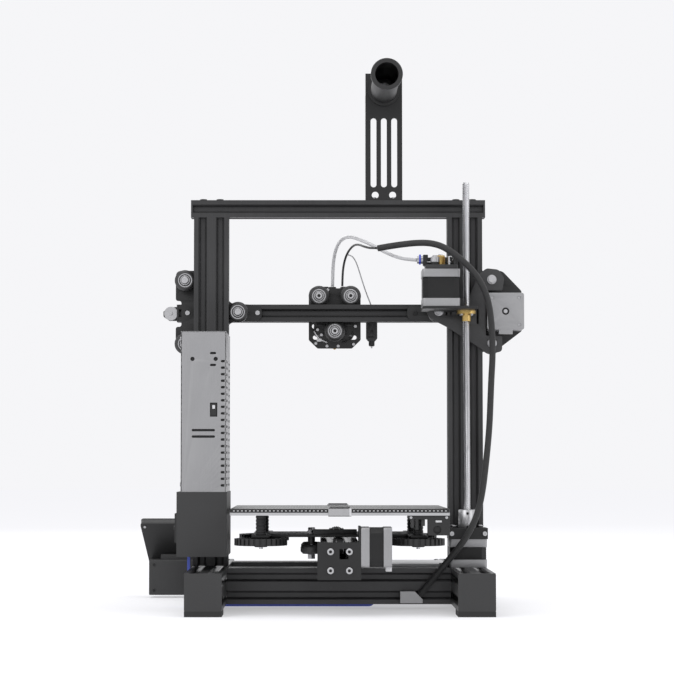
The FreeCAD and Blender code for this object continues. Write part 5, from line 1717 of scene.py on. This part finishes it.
def makeProbe():
    piece = startPiece("shown_probe")
    p = probeSetup
    x, half, low, shelf = p["x"], p["half"], p["low"], p["shelf"]
    addMesh(piece, block(x - 7, -20.5, -45, -42, shelf - 12, shelf, 0.4), "blackSteel")
    addMesh(piece, block(x - 7, x + 7, p["front"], -42, shelf, shelf + 3, 0.5), "blackSteel")
    cuts = [
        slotHole(x - 2.6, 334, 2.2, 7), slotHole(x + 2.8, 328, 2.2, 5), roundHole(x, 318, 1.6),
        slotHole(x + 1, 311, 6, 1.8)
    ]
    outline = [
        (x - half, low + 3), (x - 4, low), (x + 4, low), (x + half, low + 3),
        (x + half, p["high"]), (x - half, p["high"]),
    ]
    addMesh(piece, uprightPlate(outline, cuts, p["rear"], p["cover"], 0.8, 0.2), "greyPlastic", here)
    addMesh(piece, uprightPlate(outline, [], -60.0, 8.1, 0.8, 0.3), "blackPlastic", here)
    addMesh(piece, uprightPlate(outline, cuts, p["front"], p["cover"] + 0.1, 0.8, 0.2), "greyPlastic", here)
    nose = [(0, p["nose"]), (2.6, p["nose"]), (3.5, p["nose"] + 1), (3.5, low + 0.2), (0, low + 0.2)]
    turnedAt(piece, "blackPlastic", nose, zAxis, at(x, -56, 0))
    tip = [(0, p["tip"]), (0.6, p["tip"]), (1.0, p["tip"] + 0.6), (1.0, p["nose"] + 1), (0, p["nose"] + 1)]
    turnedAt(piece, "palePlug", tip, zAxis, at(x, -56, 0), 20)
    addMesh(piece, block(x - 4, x + 4, -59, -53.5, 344.8, 346, 0.2), "palePlug")
    addScrews(piece, [at(x + dx, -50, 339.5) for dx in (-4, 4)], yAxis, 1.6, 0.9, 0.8)
    addScrews(piece, [at(-24.5, -42, z) for z in (333, 339)], yAxis, 1.4, 0.8, 0.7)
    finishPiece(piece, "carriage", ["probe"])


makeProbe()
print("stage: print head")


# belt tensioner on the front end of the bed rail
tensionerSetup = {
    "low": 39.0, "high": 79.0, "front": -216, "gap": 5.5,
    "floor": 63.65, "cheekLow": 62.65, "cheekHigh": 82.65,
    "knob": 10.4, "knobFront": -245, "ridges": 28,
}


def makeTensioner():
    piece = startPiece("shown_y_tensioner")
    t = tensionerSetup
    low, high, front, side, floor = t["low"], t["high"], t["front"], t["gap"], t["floor"]
    gap = [
        (-20, low), (20, low), (20, high), (side, high), (side, floor), (-side, floor), (-side, high),
        (-20, high)
    ]
    addMesh(piece, uprightPlate(gap, [], front, 4.0, [2, 2, 2, 0, 1, 1, 0, 2], 0.4), "blackPlastic", here)
    pin = middleOf("y_idler")
    cheek = oblong(-238, -215.5, t["cheekLow"], t["cheekHigh"])
    for x in (-9, 6):
        addMesh(piece, sidePlate(cheek, [], x, 3.0, 2.0, 0.4), "blackPlastic", here)
    addMesh(piece, block(-9, 9, -240, -236.5, t["cheekLow"], t["cheekHigh"], 0.8), "blackPlastic")
    turnedAt(piece, "zincPlate", disc(2.0, -9.0, 9.0), xAxis, pin, 20)
    knob = at(0, t["knobFront"], 73.65)
    turnedAt(piece, "blackPlastic", disc(t["knob"], 0, 5, 0.8), yAxis, knob)
    addRidges(
        piece, "blackPlastic", t["ridges"], t["knob"] - 0.2, (1.6, 1.1, 4.4),
        facing(yAxis, knob + Vector((0, 2.5 * mm, 0)))
    )
    addScrews(piece, [at(x, front, 49) for x in (-10, 10)], -yAxis, 3.6, 2.4, 1.8)
    finishPiece(piece, "frame", ["y_tensioner"])


makeTensioner()


# screws and small fittings on what stays as the design has it
def makeFrameScrews():
    piece = startPiece("frameScrews")
    addScrews(piece, [at(x, 193, z) for x in (-10, 10) for z in (49, 69)], yAxis, 3.6, 2.2, 1.9)
    addScrews(piece, [at(x, 54.5, 84) for x in (-164, -127)], yAxis, 2.6, 1.6, 1.2)
    addScrews(piece, [at(x, y, 90.4) for x in (-161, -130) for y in (17.5, 48.5)], zAxis, 2.75, 2.2, 1.3)
    addScrews(piece, [at(x, 0, 465) for x in (-155, -136, 136, 155)], zAxis, 4.2, 1.6, 2.0, "stator")
    addScrews(
        piece,
        [at(-165.5, y, z) for y in (-130, -110, 35, 55) for z in (16, 36)], -xAxis, 4.2, 1.6, 2.0,
        "stator"
    )
    addScrews(
        piece, [at(165.5, y, z) for y in (-130, -110, 35, 55) for z in (16, 36)], xAxis, 4.2, 1.6, 2.0,
        "stator"
    )
    addScrews(piece, [at(-52.8 + dx, 0, 467) for dx in (-12, 12)], zAxis, 4.0, 1.8, 2.0, "zincPlate")
    addScrews(piece, [at(x, y, 48.9) for x in (-117, -29) for y in (-92, 17)], zAxis, 2.6, 1.0, 1.2)
    finishPiece(piece, "frame")
    nut = startPiece("armNut")
    centre = at(-52.8, 12.4, 592)
    turnedAt(nut, "zincPlate", disc(8.5, 0, 1.4), yAxis, centre)
    addMesh(nut, hexMesh(13.0, 6.0), "zincPlate", facing(yAxis, centre + Vector((0, 1.3 * mm, 0))))
    turnedAt(nut, "brightSteel", disc(3.9, 0, 10.0), yAxis, centre, 24)
    finishPiece(nut, "frame")


makeFrameScrews()

# what stays as the design has it gets its finish
# the uprights and the beam take the darker anodised copies, whose colours are painted shade
keptFinishes = {
    "base_rails": "anodisedAlongY", "y_rail": "anodisedAlongY", "portal_rails": "anodisedAlongZPaintedShade",
    "x_beam": "anodisedAlongXPaintedShade", "end_caps": "greyPlastic", "rubber_feet": "rubberPad",
    "psu_cover": "greyPlastic",
    "psu_lead": "blueJacket", "electronics_case": "paleSheet", "motor_brackets": "blackSteel",
    "spool_bracket": "blackSteel", "spool_arm": "blackPlastic", "heated_bed": "milledAlloy",
    "power_switch": "blackPlastic",
}
for node, finish in keptFinishes.items():
    shown = frame["nodes"][node]
    shown.data.materials.clear()
    shown.data.materials.append(materials[finish])
print("stage: finishes on the design's own parts")
